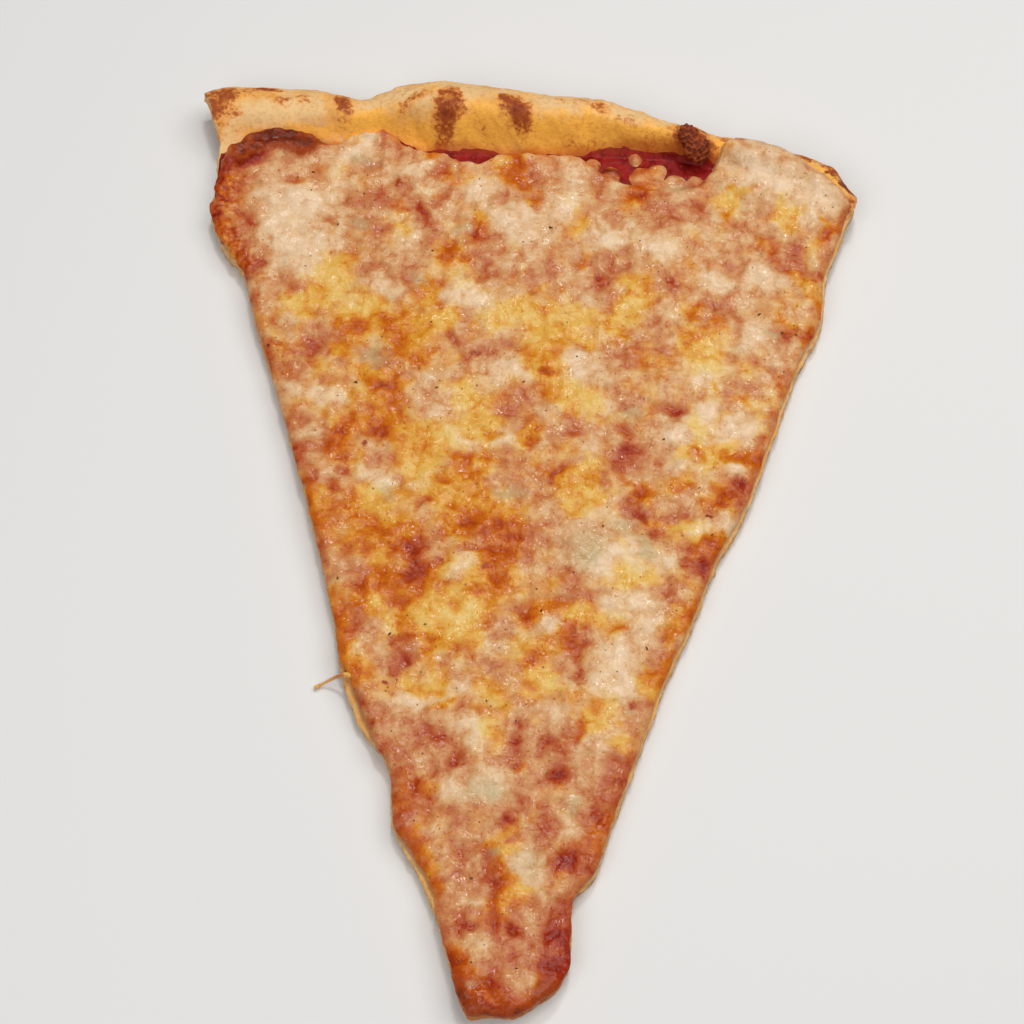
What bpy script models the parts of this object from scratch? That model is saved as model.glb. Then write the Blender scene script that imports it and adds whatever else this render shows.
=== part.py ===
"""A large slice of thin-crust cheese pizza, lying flat on its underside.

It has three layers, each its own solid that runs through the slice: the dough with its
raised outer rim, a thin layer of tomato sauce, and a sheet of melted cheese.

The slice is drawn in a plan of its own, in millimetres: x runs across it, and y runs from
the tip to the rim. The layers are slabs, made from a grid that is fanned out over the plan
between the two cuts and then given a lower and an upper height. At the end the plan is
moved, so that the origin is under the middle of the finished slice, at table height.
"""

import bmesh
import bpy
import numpy as np

MM = 0.001

# Thicknesses, in millimetres
DOUGH = 3.6  # the thin base, away from the rim
DOUGH_WAVES = 0.25
SAUCE = 0.9
CHEESE = 2.1
CHEESE_LUMPS = 0.7
CHEESE_LIP = 0.5  # what is left of the cheese at its melted edge
CLEARANCE = 0.3  # between one layer and the next

# The two cuts, as (y, x) stations from the tip to the rim
LEFT_CUT = ((0, -5), (3, -7), (10, -9.5), (20, -13), (30, -17.5), (44, -25.5), (56, -27),
            (68, -35.5), (78, -40), (95, -44), (118, -51), (142, -59), (160, -65.5), (180, -73),
            (190, -76), (200, -83.5), (208, -86.5), (226, -86.5), (244, -92))
RIGHT_CUT = ((0, 5), (3, 10), (8, 15.5), (14, 17.5), (27, 17.5), (34, 22.5), (42, 25), (60, 31),
             (80, 37.5), (100, 45.5), (112, 49.5), (130, 58), (150, 64.5), (170, 71), (184, 77),
             (195, 78), (208, 82), (219, 86))

# The rim's outer edge, the foot where it rises from the base, and its crest height,
# each as (x, value) stations from the left cut to the right one
RIM_BACK = ((-92, 244), (-86, 246), (-72, 247), (-60, 247.5), (-50, 245), (-42, 247.5),
            (-34, 250), (-26, 250.5), (-12, 249.5), (0, 248), (12, 248), (22, 245.5),
            (34, 242), (46, 239.5), (58, 238.5), (66, 236), (78, 231), (86, 220.5))
RIM_FOOT = ((-92, 225), (-75, 228), (-45, 231), (-20, 229), (0, 229.5), (15, 231), (36, 231),
            (50, 228), (62, 223), (74, 217), (86, 209))
FOOT_ENDS = (226, 211)  # the y at which the foot meets the left cut and the right one
RIM_CREST = ((-92, 8), (-75, 9), (-58, 10), (-49, 11), (-36, 14.5), (-26, 16), (-10, 15.5),
             (5, 14.5), (20, 13.5), (36, 11.5), (50, 9), (66, 8), (86, 7))
CREST_AT = 0.52  # the crest's place between the foot and the outer edge
NOSE_HEIGHT = 0.45  # the outer edge's height, as a share of the crest's
NOSE_WALL = 0.8  # the upright face left at the outer edge
UNDERCUT_FROM = 0.6  # where the rim's underside starts to curl up

# Baked bubbles on the rim: (x, y, half width, half length, height)
RIM_BUBBLES = ((42, 234.5, 5, 7, 2.6), (-25, 240, 5, 8, 1.0), (-6, 242, 4.5, 6, 0.9),
               (-54, 241, 4, 4.5, 0.8))

# Where the baked slice lifts off the table: (x, y, reach, height)
LIFTS = ((-92, 244, 52, 4.5), (86, 220, 46, 3.0), (0, -4, 40, 2.4), (-44, 82, 22, 1.0),
         (63, 140, 26, 0.9))

# The cheese: its back edge as (x, y) stations, how far it stays inside each cut as
# (y, distance) stations, and its thick places as (x, y, half width, half length, height)
CHEESE_BACK = ((-84, 224), (-72, 230.5), (-50, 231.5), (-30, 228.5), (-15, 226.5), (0, 229),
               (9, 229), (20, 224), (36, 222.5), (49, 230.5), (58, 235), (68, 232), (84.5, 217.5))
CHEESE_IN_LEFT = ((0, 0.5), (22, 0.6), (34, 2.6), (46, 0.8), (62, 0.8), (75, 3.4), (90, 0.7),
                  (205, 0.8), (224, 2.4))
CHEESE_IN_RIGHT = ((0, 0.8), (40, 1.3), (216, 1.5))
CHEESE_SWELLS = ((60, 226, 13, 10, 1.2), (-71, 228, 12, 4, 1.3), (33, 222, 12, 5, 0.6))

NARROW = 60  # where the slice is narrower than this, the cheese's edge is narrower too

SAUCE_IN = 0.6  # how far the sauce stays inside the cuts, and off the rim's foot

# Cells of each layer's grid, across the slice and along it
DOUGH_CELLS = (32, 28)
SAUCE_CELLS = (26, 18)
CHEESE_CELLS = (34, 30)
RIM_ROWS = 10  # the dough's rows that belong to the rim
# How far in the first lines of the grids are: from the tip, and for the cheese from its cut
# edges and from its back edge, which climbs the rim
TIP_LINES = (0, 1, 3, 6.5, 11)
CHEESE_EDGE_LINES = (0, 1, 2.8)
CHEESE_BACK_LINES = (0, 1.2, 2.8, 5, 7.5, 10.5, 14, 18)

CRUST_COLOUR = (0.66, 0.37, 0.13)
SAUCE_COLOUR = (0.38, 0.035, 0.015)
CHEESE_COLOUR = (0.76, 0.46, 0.19)


def smooth_step(share):
    share = np.clip(share, 0, 1)
    return share * share * (3 - 2 * share)


def through(stations, at):
    """A smooth line through (place, value) stations, read at each of the places given.

    Between two stations it stays between their values.
    """
    places, values = np.array(stations, float).T
    grades = np.diff(values) / np.diff(places)
    before, after = grades[:-1], grades[1:]
    turning = before * after <= 0
    slopes = np.where(turning, 0, 2 * before * after / np.where(turning, 1, before + after))
    slopes = np.concatenate((grades[:1], slopes, grades[-1:]))
    at = np.clip(at, places[0], places[-1])
    k = np.clip(np.searchsorted(places, at) - 1, 0, len(places) - 2)
    span = places[k + 1] - places[k]
    t = (at - places[k]) / span
    leaving = span * slopes[k] * t * (1 - t) ** 2
    arriving = span * slopes[k + 1] * t * t * (t - 1)
    return values[k] + (values[k + 1] - values[k]) * smooth_step(t) + leaving + arriving


def lumps(x, y, wavelength):
    """Gentle unevenness between -1 and 1: five wave trains that cross each other."""
    total = 0.0
    for k, heading in enumerate(np.radians((12, 57, 101, 149, 84))):
        along = x * np.cos(heading) + y * np.sin(heading)
        total = total + np.sin(2 * np.pi * along / (wavelength * (1 + 0.16 * k)) + 1.7 * k)
    return total / 5


def mounds(x, y, places):
    """The height of soft round-topped mounds, each (x, y, half width, half length, height)."""
    return sum(
        height * np.exp(-(((x - cx) / wide) ** 2 + ((y - cy) / long) ** 2))
        for cx, cy, wide, long, height in places
    )


def lift(x, y):
    """How far the underside is off the table. It is exactly flat away from the lifted places."""
    return sum(
        height * smooth_step(1 - np.hypot(x - cx, y - cy) / reach) for cx, cy, reach, height in LIFTS
    )


def rim_share(x, y):
    """0 at the rim's foot, 1 at its outer edge, and below 0 on the thin base."""
    foot = through(RIM_FOOT, x)
    return (y - foot) / (through(RIM_BACK, x) - foot)


def dough_top(x, y):
    share = np.clip(rim_share(x, y), 0, 1)
    crest = through(RIM_CREST, x)
    nose = NOSE_HEIGHT * crest + NOSE_WALL / 2
    base = DOUGH + DOUGH_WAVES * lumps(x, y, 60)
    inner = base + (crest - base) * smooth_step(share / CREST_AT)
    down = np.clip((share - CREST_AT) / (1 - CREST_AT), 0, 1)
    outer = nose + (crest - nose) * np.sqrt(1 - down**2)
    bubbles = mounds(x, y, RIM_BUBBLES) * smooth_step(share / 0.3) * (1 - down**4)
    return np.where(share < CREST_AT, inner, outer) + bubbles + lift(x, y)


def dough_bottom(x, y):
    share = rim_share(x, y)
    nose = NOSE_HEIGHT * through(RIM_CREST, x) - NOSE_WALL / 2
    out = np.clip((share - UNDERCUT_FROM) / (1 - UNDERCUT_FROM), 0, 1)
    return nose * (1 - np.sqrt(1 - out**2)) + lift(x, y)


def sauce_bottom(x, y):
    return dough_top(x, y) + CLEARANCE


def sauce_top(x, y):
    return sauce_bottom(x, y) + SAUCE


def cheese_bottom(x, y):
    return sauce_top(x, y) + CLEARANCE


def cheese_thickness(x, y):
    return CHEESE + CHEESE_LUMPS * lumps(x, y, 32) + mounds(x, y, CHEESE_SWELLS)


def fan(left, right, ends, u, f):
    """The plan place that is share u across the slice and share f along it.

    left and right give each cut's x at a given y, and ends the y where each cut stops.
    """
    y_left, y_right = f * ends[0], f * ends[1]
    return left(y_left) * (1 - u) + right(y_right) * u, y_left * (1 - u) + y_right * u


def fan_to(left, right, ends, back, u, f):
    """fan(), with its last row bowed out on to the back line, and the rows before it less so."""
    x, y = fan(left, right, ends, u, f)
    x_end, y_end = fan(left, right, ends, u, np.ones_like(f))
    return x, y + (back(x_end) - y_end) * f**2


def lines(shares, cells, length, near, far):
    """Moves evenly spaced shares, so that the lines at both ends are the distances near and far in.

    The lines between them are spread evenly over what is left of the length.
    """
    steps = np.concatenate((np.arange(len(near)), cells - np.arange(len(far))[::-1]))
    places = np.concatenate((near, length - np.array(far)[::-1]))
    return np.interp(shares * cells, steps, places) / length


def left_cut(y):
    return through(LEFT_CUT, y)


def right_cut(y):
    return through(RIGHT_CUT, y)


def dough_plan(u, v):
    """The base takes the first rows and the rim the last ones, closer together at the outer edge."""
    base_rows = DOUGH_CELLS[1] - RIM_ROWS
    row = v * DOUGH_CELLS[1]
    out = np.clip((row - base_rows) / RIM_ROWS, 0, 1)
    f = lines(np.minimum(row / base_rows, 1), base_rows, FOOT_ENDS[0], TIP_LINES, (0,))
    x, y = fan_to(left_cut, right_cut, FOOT_ENDS, lambda at: through(RIM_FOOT, at), u, f)
    x_back = LEFT_CUT[-1][1] * (1 - u) + RIGHT_CUT[-1][1] * u
    y_back = through(RIM_BACK, x_back)
    out = np.where(out < 0.5, out, 0.5 + 0.5 * np.sin(np.pi * (out - 0.5)))
    return x + (x_back - x) * out, y + (y_back - y) * out


def sauce_plan(u, v):
    f = lines(v, SAUCE_CELLS[1], FOOT_ENDS[0], TIP_LINES, (0,))
    x, y = fan_to(
        lambda at: left_cut(at) + SAUCE_IN,
        lambda at: right_cut(at) - SAUCE_IN,
        FOOT_ENDS,
        lambda at: through(RIM_FOOT, at) - SAUCE_IN,
        u,
        f,
    )
    return x, y + SAUCE_IN * (1 - f)


def cheese_plan(u, v):
    across, along = CHEESE_CELLS
    ends = (CHEESE_BACK[0][1], CHEESE_BACK[-1][1])
    f = lines(v, along, ends[0], TIP_LINES, CHEESE_BACK_LINES)
    widths = right_cut(f * ends[1]) - left_cut(f * ends[0])
    edges = [np.multiply(CHEESE_EDGE_LINES, min(1, width / NARROW)) for width in widths]
    u = [lines(*at, edge, edge) for *at, edge in zip(u, [across] * len(u), widths, edges)]
    x, y = fan_to(
        lambda at: left_cut(at) + through(CHEESE_IN_LEFT, at),
        lambda at: right_cut(at) - through(CHEESE_IN_RIGHT, at),
        ends,
        lambda at: through(CHEESE_BACK, at),
        np.array(u),
        f,
    )
    return x, y + SAUCE_IN * (1 - f)


def make_material(name, colour, roughness):
    material = bpy.data.materials.new(name)
    material.use_nodes = True
    shader = material.node_tree.nodes["Principled BSDF"]
    shader.inputs["Base Color"].default_value = (*colour, 1)
    shader.inputs["Roughness"].default_value = roughness
    return material


def make_layer(name, cells, plan, bottom, top, material):
    """A grid extruded into a slab, whose corners are then set out over the plan and in height.

    bottom and top give a height for the plan place (x, y) and the grid shares (u, v).
    """
    bm = bmesh.new()
    bmesh.ops.create_grid(bm, x_segments=cells[0], y_segments=cells[1], size=0.5)
    lower = bm.verts[:]
    made = bmesh.ops.extrude_face_region(bm, geom=bm.faces[:] + bm.edges[:], use_keep_orig=True)
    upper = [item for item in made["geom"] if isinstance(item, bmesh.types.BMVert)]
    for corners, height in ((lower, bottom), (upper, top)):
        shares = np.array([corner.co[:2] for corner in corners]) + 0.5
        u, v = np.clip(shares, 0, 1).T
        x, y = plan(u, v)
        for corner, *place in zip(corners, x, y, height(x, y, u, v)):
            corner.co = place
    bmesh.ops.recalc_face_normals(bm, faces=bm.faces[:])
    mesh = bpy.data.meshes.new(name)
    bm.to_mesh(mesh)
    bm.free()
    mesh.shade_smooth()
    mesh.materials.append(material)
    return bpy.data.objects.new(name, mesh)


def make_dough():
    return make_layer(
        "dough",
        DOUGH_CELLS,
        dough_plan,
        lambda x, y, u, v: dough_bottom(x, y),
        lambda x, y, u, v: dough_top(x, y),
        make_material("baked_dough", CRUST_COLOUR, 0.7),
    )


def make_sauce():
    return make_layer(
        "tomato_sauce",
        SAUCE_CELLS,
        sauce_plan,
        lambda x, y, u, v: sauce_bottom(x, y),
        lambda x, y, u, v: sauce_top(x, y),
        make_material("tomato_sauce", SAUCE_COLOUR, 0.35),
    )


def make_cheese():
    def top(x, y, u, v):
        """Full thickness inside, rounded down to a thin lip at the melted edge."""
        across, along = CHEESE_CELLS
        steps_in = np.minimum(np.minimum(u, 1 - u) * across, np.minimum(v, 1 - v) * along)
        share = np.clip(steps_in / 2, 0, 1)
        rounded = np.sqrt(1 - (1 - share) ** 2)
        thick = CHEESE_LIP + (cheese_thickness(x, y) - CHEESE_LIP) * rounded
        return cheese_bottom(x, y) + thick

    return make_layer(
        "melted_cheese",
        CHEESE_CELLS,
        cheese_plan,
        lambda x, y, u, v: cheese_bottom(x, y),
        top,
        make_material("melted_cheese", CHEESE_COLOUR, 0.35),
    )


def set_on_origin(layers):
    """Turns the plan's millimetres into metres, with the origin under the middle of the slice."""
    corners = np.array([corner.co for layer in layers for corner in layer.data.vertices])
    low, high = corners.min(axis=0), corners.max(axis=0)
    middle = (low + high) / 2
    for layer in layers:
        for corner in layer.data.vertices:
            corner.co.x = (corner.co.x - middle[0]) * MM
            corner.co.y = (corner.co.y - middle[1]) * MM
            corner.co.z = (corner.co.z - low[2]) * MM


def main():
    for old in list(bpy.data.objects):
        bpy.data.objects.remove(old)
    slice_parts = bpy.data.collections.new("cheese_pizza_slice")
    bpy.context.scene.collection.children.link(slice_parts)
    layers = [make_dough(), make_sauce(), make_cheese()]
    set_on_origin(layers)
    for layer in layers:
        slice_parts.objects.link(layer)


main()
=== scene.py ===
"""The looks of a large slice of thin-crust cheese pizza.

Each CAD layer is replaced by a finely modelled piece that keeps its place: the baked dough,
the tomato sauce and the melted cheese. Herb and pepper flakes and a pulled string of cheese
are added.

Places are in millimetres in the slice's own plan: x runs across, y from the tip to the rim,
and z up from the table. put() takes them to the frame.
"""

import bmesh
import bpy
import numpy as np
from mathutils import Matrix, Vector
from mathutils.geometry import delaunay_2d_cdt


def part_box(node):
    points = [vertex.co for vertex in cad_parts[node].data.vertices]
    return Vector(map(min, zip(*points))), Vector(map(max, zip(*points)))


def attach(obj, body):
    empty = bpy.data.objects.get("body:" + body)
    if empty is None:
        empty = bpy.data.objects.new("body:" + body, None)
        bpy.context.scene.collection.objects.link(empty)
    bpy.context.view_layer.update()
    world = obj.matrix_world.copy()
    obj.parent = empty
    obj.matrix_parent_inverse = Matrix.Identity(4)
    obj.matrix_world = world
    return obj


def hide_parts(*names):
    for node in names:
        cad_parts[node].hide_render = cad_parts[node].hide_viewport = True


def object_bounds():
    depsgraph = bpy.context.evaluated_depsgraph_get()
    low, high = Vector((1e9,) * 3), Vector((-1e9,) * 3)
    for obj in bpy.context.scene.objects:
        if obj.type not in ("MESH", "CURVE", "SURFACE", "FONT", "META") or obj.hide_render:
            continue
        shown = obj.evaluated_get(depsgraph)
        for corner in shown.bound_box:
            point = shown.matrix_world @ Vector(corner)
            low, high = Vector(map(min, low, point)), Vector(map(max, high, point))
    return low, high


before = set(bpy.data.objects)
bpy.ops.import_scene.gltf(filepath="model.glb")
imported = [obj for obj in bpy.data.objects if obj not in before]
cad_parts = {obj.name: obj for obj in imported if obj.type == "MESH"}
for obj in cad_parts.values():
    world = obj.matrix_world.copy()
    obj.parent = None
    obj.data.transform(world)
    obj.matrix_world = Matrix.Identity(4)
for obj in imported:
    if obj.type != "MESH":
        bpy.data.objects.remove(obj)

CAD_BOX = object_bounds()
MM = 0.001

# ---------------------------------------------------------------- the slice's plan, as in the CAD

DOUGH = 3.6
SAUCE = 0.9
CHEESE = 2.1
CLEARANCE = 0.3

LEFT_CUT = ((0, -5), (3, -7), (10, -9.5), (20, -13), (30, -17.5), (44, -25.5), (56, -27),
            (68, -35.5), (78, -40), (95, -44), (118, -51), (142, -59), (160, -65.5), (180, -73),
            (190, -76), (200, -83.5), (208, -86.5), (226, -86.5), (244, -92))
RIGHT_CUT = ((0, 5), (3, 10), (8, 15.5), (14, 17.5), (27, 17.5), (34, 22.5), (42, 25), (60, 31),
             (80, 37.5), (100, 45.5), (112, 49.5), (130, 58), (150, 64.5), (170, 71), (184, 77),
             (195, 78), (208, 82), (219, 86))
RIM_BACK = ((-92, 244), (-86, 246), (-72, 247), (-60, 247.5), (-50, 245), (-42, 247.5),
            (-34, 250), (-26, 250.5), (-12, 249.5), (0, 248), (12, 248), (22, 245.5),
            (34, 242), (46, 239.5), (58, 238.5), (66, 236), (78, 231), (86, 220.5))
RIM_FOOT = ((-92, 225), (-75, 228), (-45, 231), (-20, 229), (0, 229.5), (15, 231), (36, 231),
            (50, 228), (62, 223), (74, 217), (86, 209))
RIM_CREST = ((-92, 8), (-75, 9), (-58, 10), (-49, 11), (-36, 14.5), (-26, 16), (-10, 15.5),
             (5, 14.5), (20, 13.5), (36, 11.5), (50, 9), (66, 8), (86, 7))
CREST_AT = 0.52
NOSE_HEIGHT = 0.45
NOSE_WALL = 0.8
UNDERCUT_FROM = 0.6
RIM_BUBBLES = ((42, 234.5, 5, 7, 2.6), (-25, 240, 5, 8, 1.0), (-6, 242, 4.5, 6, 0.9),
               (-54, 241, 4, 4.5, 0.8))
LIFTS = ((-92, 244, 52, 4.5), (86, 220, 46, 3.0), (0, -4, 40, 2.4), (-44, 82, 22, 1.0),
         (63, 140, 26, 0.9))

# The cheese's back edge. It leaves the sauce open beside the rim, most of all at the right
CHEESE_BACK = ((-85, 223), (-82, 228), (-77, 231), (-70, 233), (-62, 233), (-58, 231.5),
               (-50, 234), (-43, 235), (-38, 233), (-30, 230.5), (-23, 229), (-17, 227),
               (-10, 230.5), (0, 231), (8, 231.5), (12, 230), (17, 226), (24, 223), (30, 221.5),
               (38, 222), (44, 223.5), (48, 229), (51, 235), (56, 237.5), (61, 237),
               (66, 233.5), (72, 228.5), (80, 222), (86, 213.5))
DOMES = ((60, 226, 13, 10, 1.2), (-71, 228, 12, 4, 0.5), (55, 226, 7, 4, 1.4),
         (65, 221.5, 7, 4, 1.7), (75, 215.5, 6, 4, 1.3))
# Round lobes of cheese that reach out over the open sauce: (x, y, radius)
LOBES = ((15, 228.4, 2.2), (20, 226, 2.6), (26.5, 230.8, 1.8), (28.6, 225, 3.6),
         (32.6, 227.2, 2.6), (31, 222.6, 3.4), (37.5, 223.4, 3.4), (43, 223.6, 2.8))
CHEESE_IN_LEFT = ((0, 0.5), (22, 0.6), (28, 2.2), (38, 2.0), (44, 0.6), (62, 0.6), (68, 2.6),
                  (78, 2.2), (84, 0.5), (205, 0.5), (224, 2.0))
CHEESE_IN_RIGHT = ((0, 0.4), (36, 0.6), (60, 1.1), (216, 1.4))

PLAN_LOW = Vector((LEFT_CUT[-1][1], 0, 0))  # the dough's lowest corner, in the plan
ORIGIN = Vector(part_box("dough")[0]) - PLAN_LOW * MM


def put(places):
    """Plan places in millimetres, as an array of rows, to places in the frame."""
    return np.asarray(places) * MM + np.array(ORIGIN)


def smooth_step(share):
    """0 below 0, 1 above 1, and smooth between them."""
    share = np.clip(share, 0, 1)
    return share * share * (3 - 2 * share)


def through(stations, at):
    """A smooth line through (place, value) stations, read at each of the places given."""
    places, values = np.array(stations, float).T
    grades = np.diff(values) / np.diff(places)
    before, after = grades[:-1], grades[1:]
    turning = before * after <= 0
    slopes = np.where(turning, 0, 2 * before * after / np.where(turning, 1, before + after))
    slopes = np.concatenate((grades[:1], slopes, grades[-1:]))
    at = np.clip(at, places[0], places[-1])
    k = np.clip(np.searchsorted(places, at) - 1, 0, len(places) - 2)
    span = places[k + 1] - places[k]
    t = (at - places[k]) / span
    leaving = span * slopes[k] * t * (1 - t) ** 2
    arriving = span * slopes[k + 1] * t * t * (t - 1)
    return values[k] + (values[k + 1] - values[k]) * smooth_step(t) + leaving + arriving


def lumps(x, y, wavelength):
    """The CAD's gentle unevenness, between -1 and 1."""
    total = 0.0
    for k, heading in enumerate(np.radians((12, 57, 101, 149, 84))):
        along = x * np.cos(heading) + y * np.sin(heading)
        total = total + np.sin(2 * np.pi * along / (wavelength * (1 + 0.16 * k)) + 1.7 * k)
    return total / 5


def mounds(x, y, places):
    """The height of soft round-topped mounds, each (x, y, half width, half length, height)."""
    return sum(
        height * np.exp(-(((x - cx) / wide) ** 2 + ((y - cy) / long) ** 2))
        for cx, cy, wide, long, height in places
    )


def lift(x, y):
    """How far the slice's corners, tip and edges have curled up off the table."""
    return sum(
        height * smooth_step(1 - np.hypot(x - cx, y - cy) / reach)
        for cx, cy, reach, height in LIFTS
    )


def rim_share(x, y):
    """How far across the rim a place is: 0 at its foot and 1 at its back."""
    foot = through(RIM_FOOT, x)
    return (y - foot) / (through(RIM_BACK, x) - foot)


def dough_top(x, y):
    """The height of the dough: a flat base, and a rim that rises and rolls over to its nose."""
    share = np.clip(rim_share(x, y), 0, 1)
    crest = through(RIM_CREST, x)
    nose = NOSE_HEIGHT * crest + NOSE_WALL / 2
    base = DOUGH + 0.25 * lumps(x, y, 60)
    inner = base + (crest - base) * smooth_step(share / CREST_AT)
    down = np.clip((share - CREST_AT) / (1 - CREST_AT), 0, 1)
    outer = nose + (crest - nose) * np.sqrt(1 - down**2)
    bubbles = mounds(x, y, RIM_BUBBLES) * smooth_step(share / 0.3) * (1 - down**4)
    return np.where(share < CREST_AT, inner, outer) + bubbles + lift(x, y)


def dough_bottom(x, y):
    """The height of the dough's underside, which tucks up to the rim's nose."""
    share = rim_share(x, y)
    nose = NOSE_HEIGHT * through(RIM_CREST, x) - NOSE_WALL / 2
    out = np.clip((share - UNDERCUT_FROM) / (1 - UNDERCUT_FROM), 0, 1)
    return nose * (1 - np.sqrt(1 - out**2)) + lift(x, y)


# ---------------------------------------------------------------- unevenness and marks


def noise(x, y, size, seed):
    """Smooth random unevenness, about -1 to 1, in patches about size millimetres across."""
    turn = 0.9 * seed
    gx = (x * np.cos(turn) + y * np.sin(turn)) / size + 31.7 * seed
    gy = (y * np.cos(turn) - x * np.sin(turn)) / size + 12.3 * seed
    headings = np.random.default_rng(seed).uniform(0, 2 * np.pi, (128, 128))
    ix, iy = np.floor(gx).astype(int), np.floor(gy).astype(int)
    total = 0.0
    for kx in (0, 1):
        for ky in (0, 1):
            heading = headings[(ix + kx) % 128, (iy + ky) % 128]
            dx, dy = gx - ix - kx, gy - iy - ky
            weight = smooth_step(1 - np.abs(dx)) * smooth_step(1 - np.abs(dy))
            total = total + weight * (np.cos(heading) * dx + np.sin(heading) * dy)
    return 1.6 * total


def layers(x, y, *each):
    """Noises laid on each other, each (strength, size, seed)."""
    return sum(strength * noise(x, y, size, seed) for strength, size, seed in each)


def blobs(x, y, size, seed):
    """Round-topped lumps packed side by side: near 1 on their tops and 0 in the valleys."""
    gx, gy = x / size, y / (0.9 * size)
    shifts = np.random.default_rng(seed).uniform(0.1, 0.9, (2, 128, 128))
    ix, iy = np.floor(gx).astype(int), np.floor(gy).astype(int)
    nearest = np.full_like(gx, 9.0)
    for kx in (-1, 0, 1):
        for ky in (-1, 0, 1):
            cell = (ix + kx) % 128, (iy + ky) % 128
            dx = ix + kx + shifts[0][cell] - gx
            dy = iy + ky + shifts[1][cell] - gy
            nearest = np.minimum(nearest, dx * dx + dy * dy)
    return 1 - np.clip(nearest / 0.6, 0, 1)


def full(oval):
    """An oval with its heading and its strength, which are 0 and 1 where it leaves them out."""
    return (*oval, *(0, 1)[len(oval) - 4:])


def marks(x, y, ovals, softness):
    """How much of soft-edged ovals covers each place, 0 to 1.

    Each oval is (x, y, half length, half width, heading in degrees, strength), and may leave
    out its last ones.
    """
    bare = np.ones_like(x)
    for cx, cy, long, wide, heading, strength in map(full, ovals):
        c, s = np.cos(np.radians(heading)), np.sin(np.radians(heading))
        along = ((x - cx) * c + (y - cy) * s) / long
        across = ((y - cy) * c - (x - cx) * s) / wide
        cover = smooth_step((1 + softness - np.hypot(along, across)) / (2 * softness))
        bare = bare * (1 - cover * strength)
    return 1 - bare


def tumbled(ovals):
    """The same ovals, each turned by an angle of its own."""
    return [(*oval[:4], oval[4] + 50 * np.sin(2.4 * k), oval[5])
            for k, oval in enumerate(map(full, ovals))]


def varied(ovals):
    """The same ovals, each with a strength of its own."""
    return [(*oval[:5], oval[5] * (0.8 + 0.3 * np.sin(5.1 * k)))
            for k, oval in enumerate(map(full, ovals))]


def scatter(count, seed, long, wide):
    """Small ovals strewn evenly over the slice, with sizes between the two given for each."""
    rng = np.random.default_rng(seed)
    ovals = []
    while len(ovals) < count:
        x, y = rng.uniform(-88, 86), rng.uniform(2, 236)
        if through(LEFT_CUT, y) + 1 < x < through(RIGHT_CUT, y) - 1:
            sizes = rng.uniform(*long), rng.uniform(*wide)
            ovals.append((x, y, *sizes, rng.uniform(0, 180), rng.uniform(0.4, 1)))
    return ovals


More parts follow.
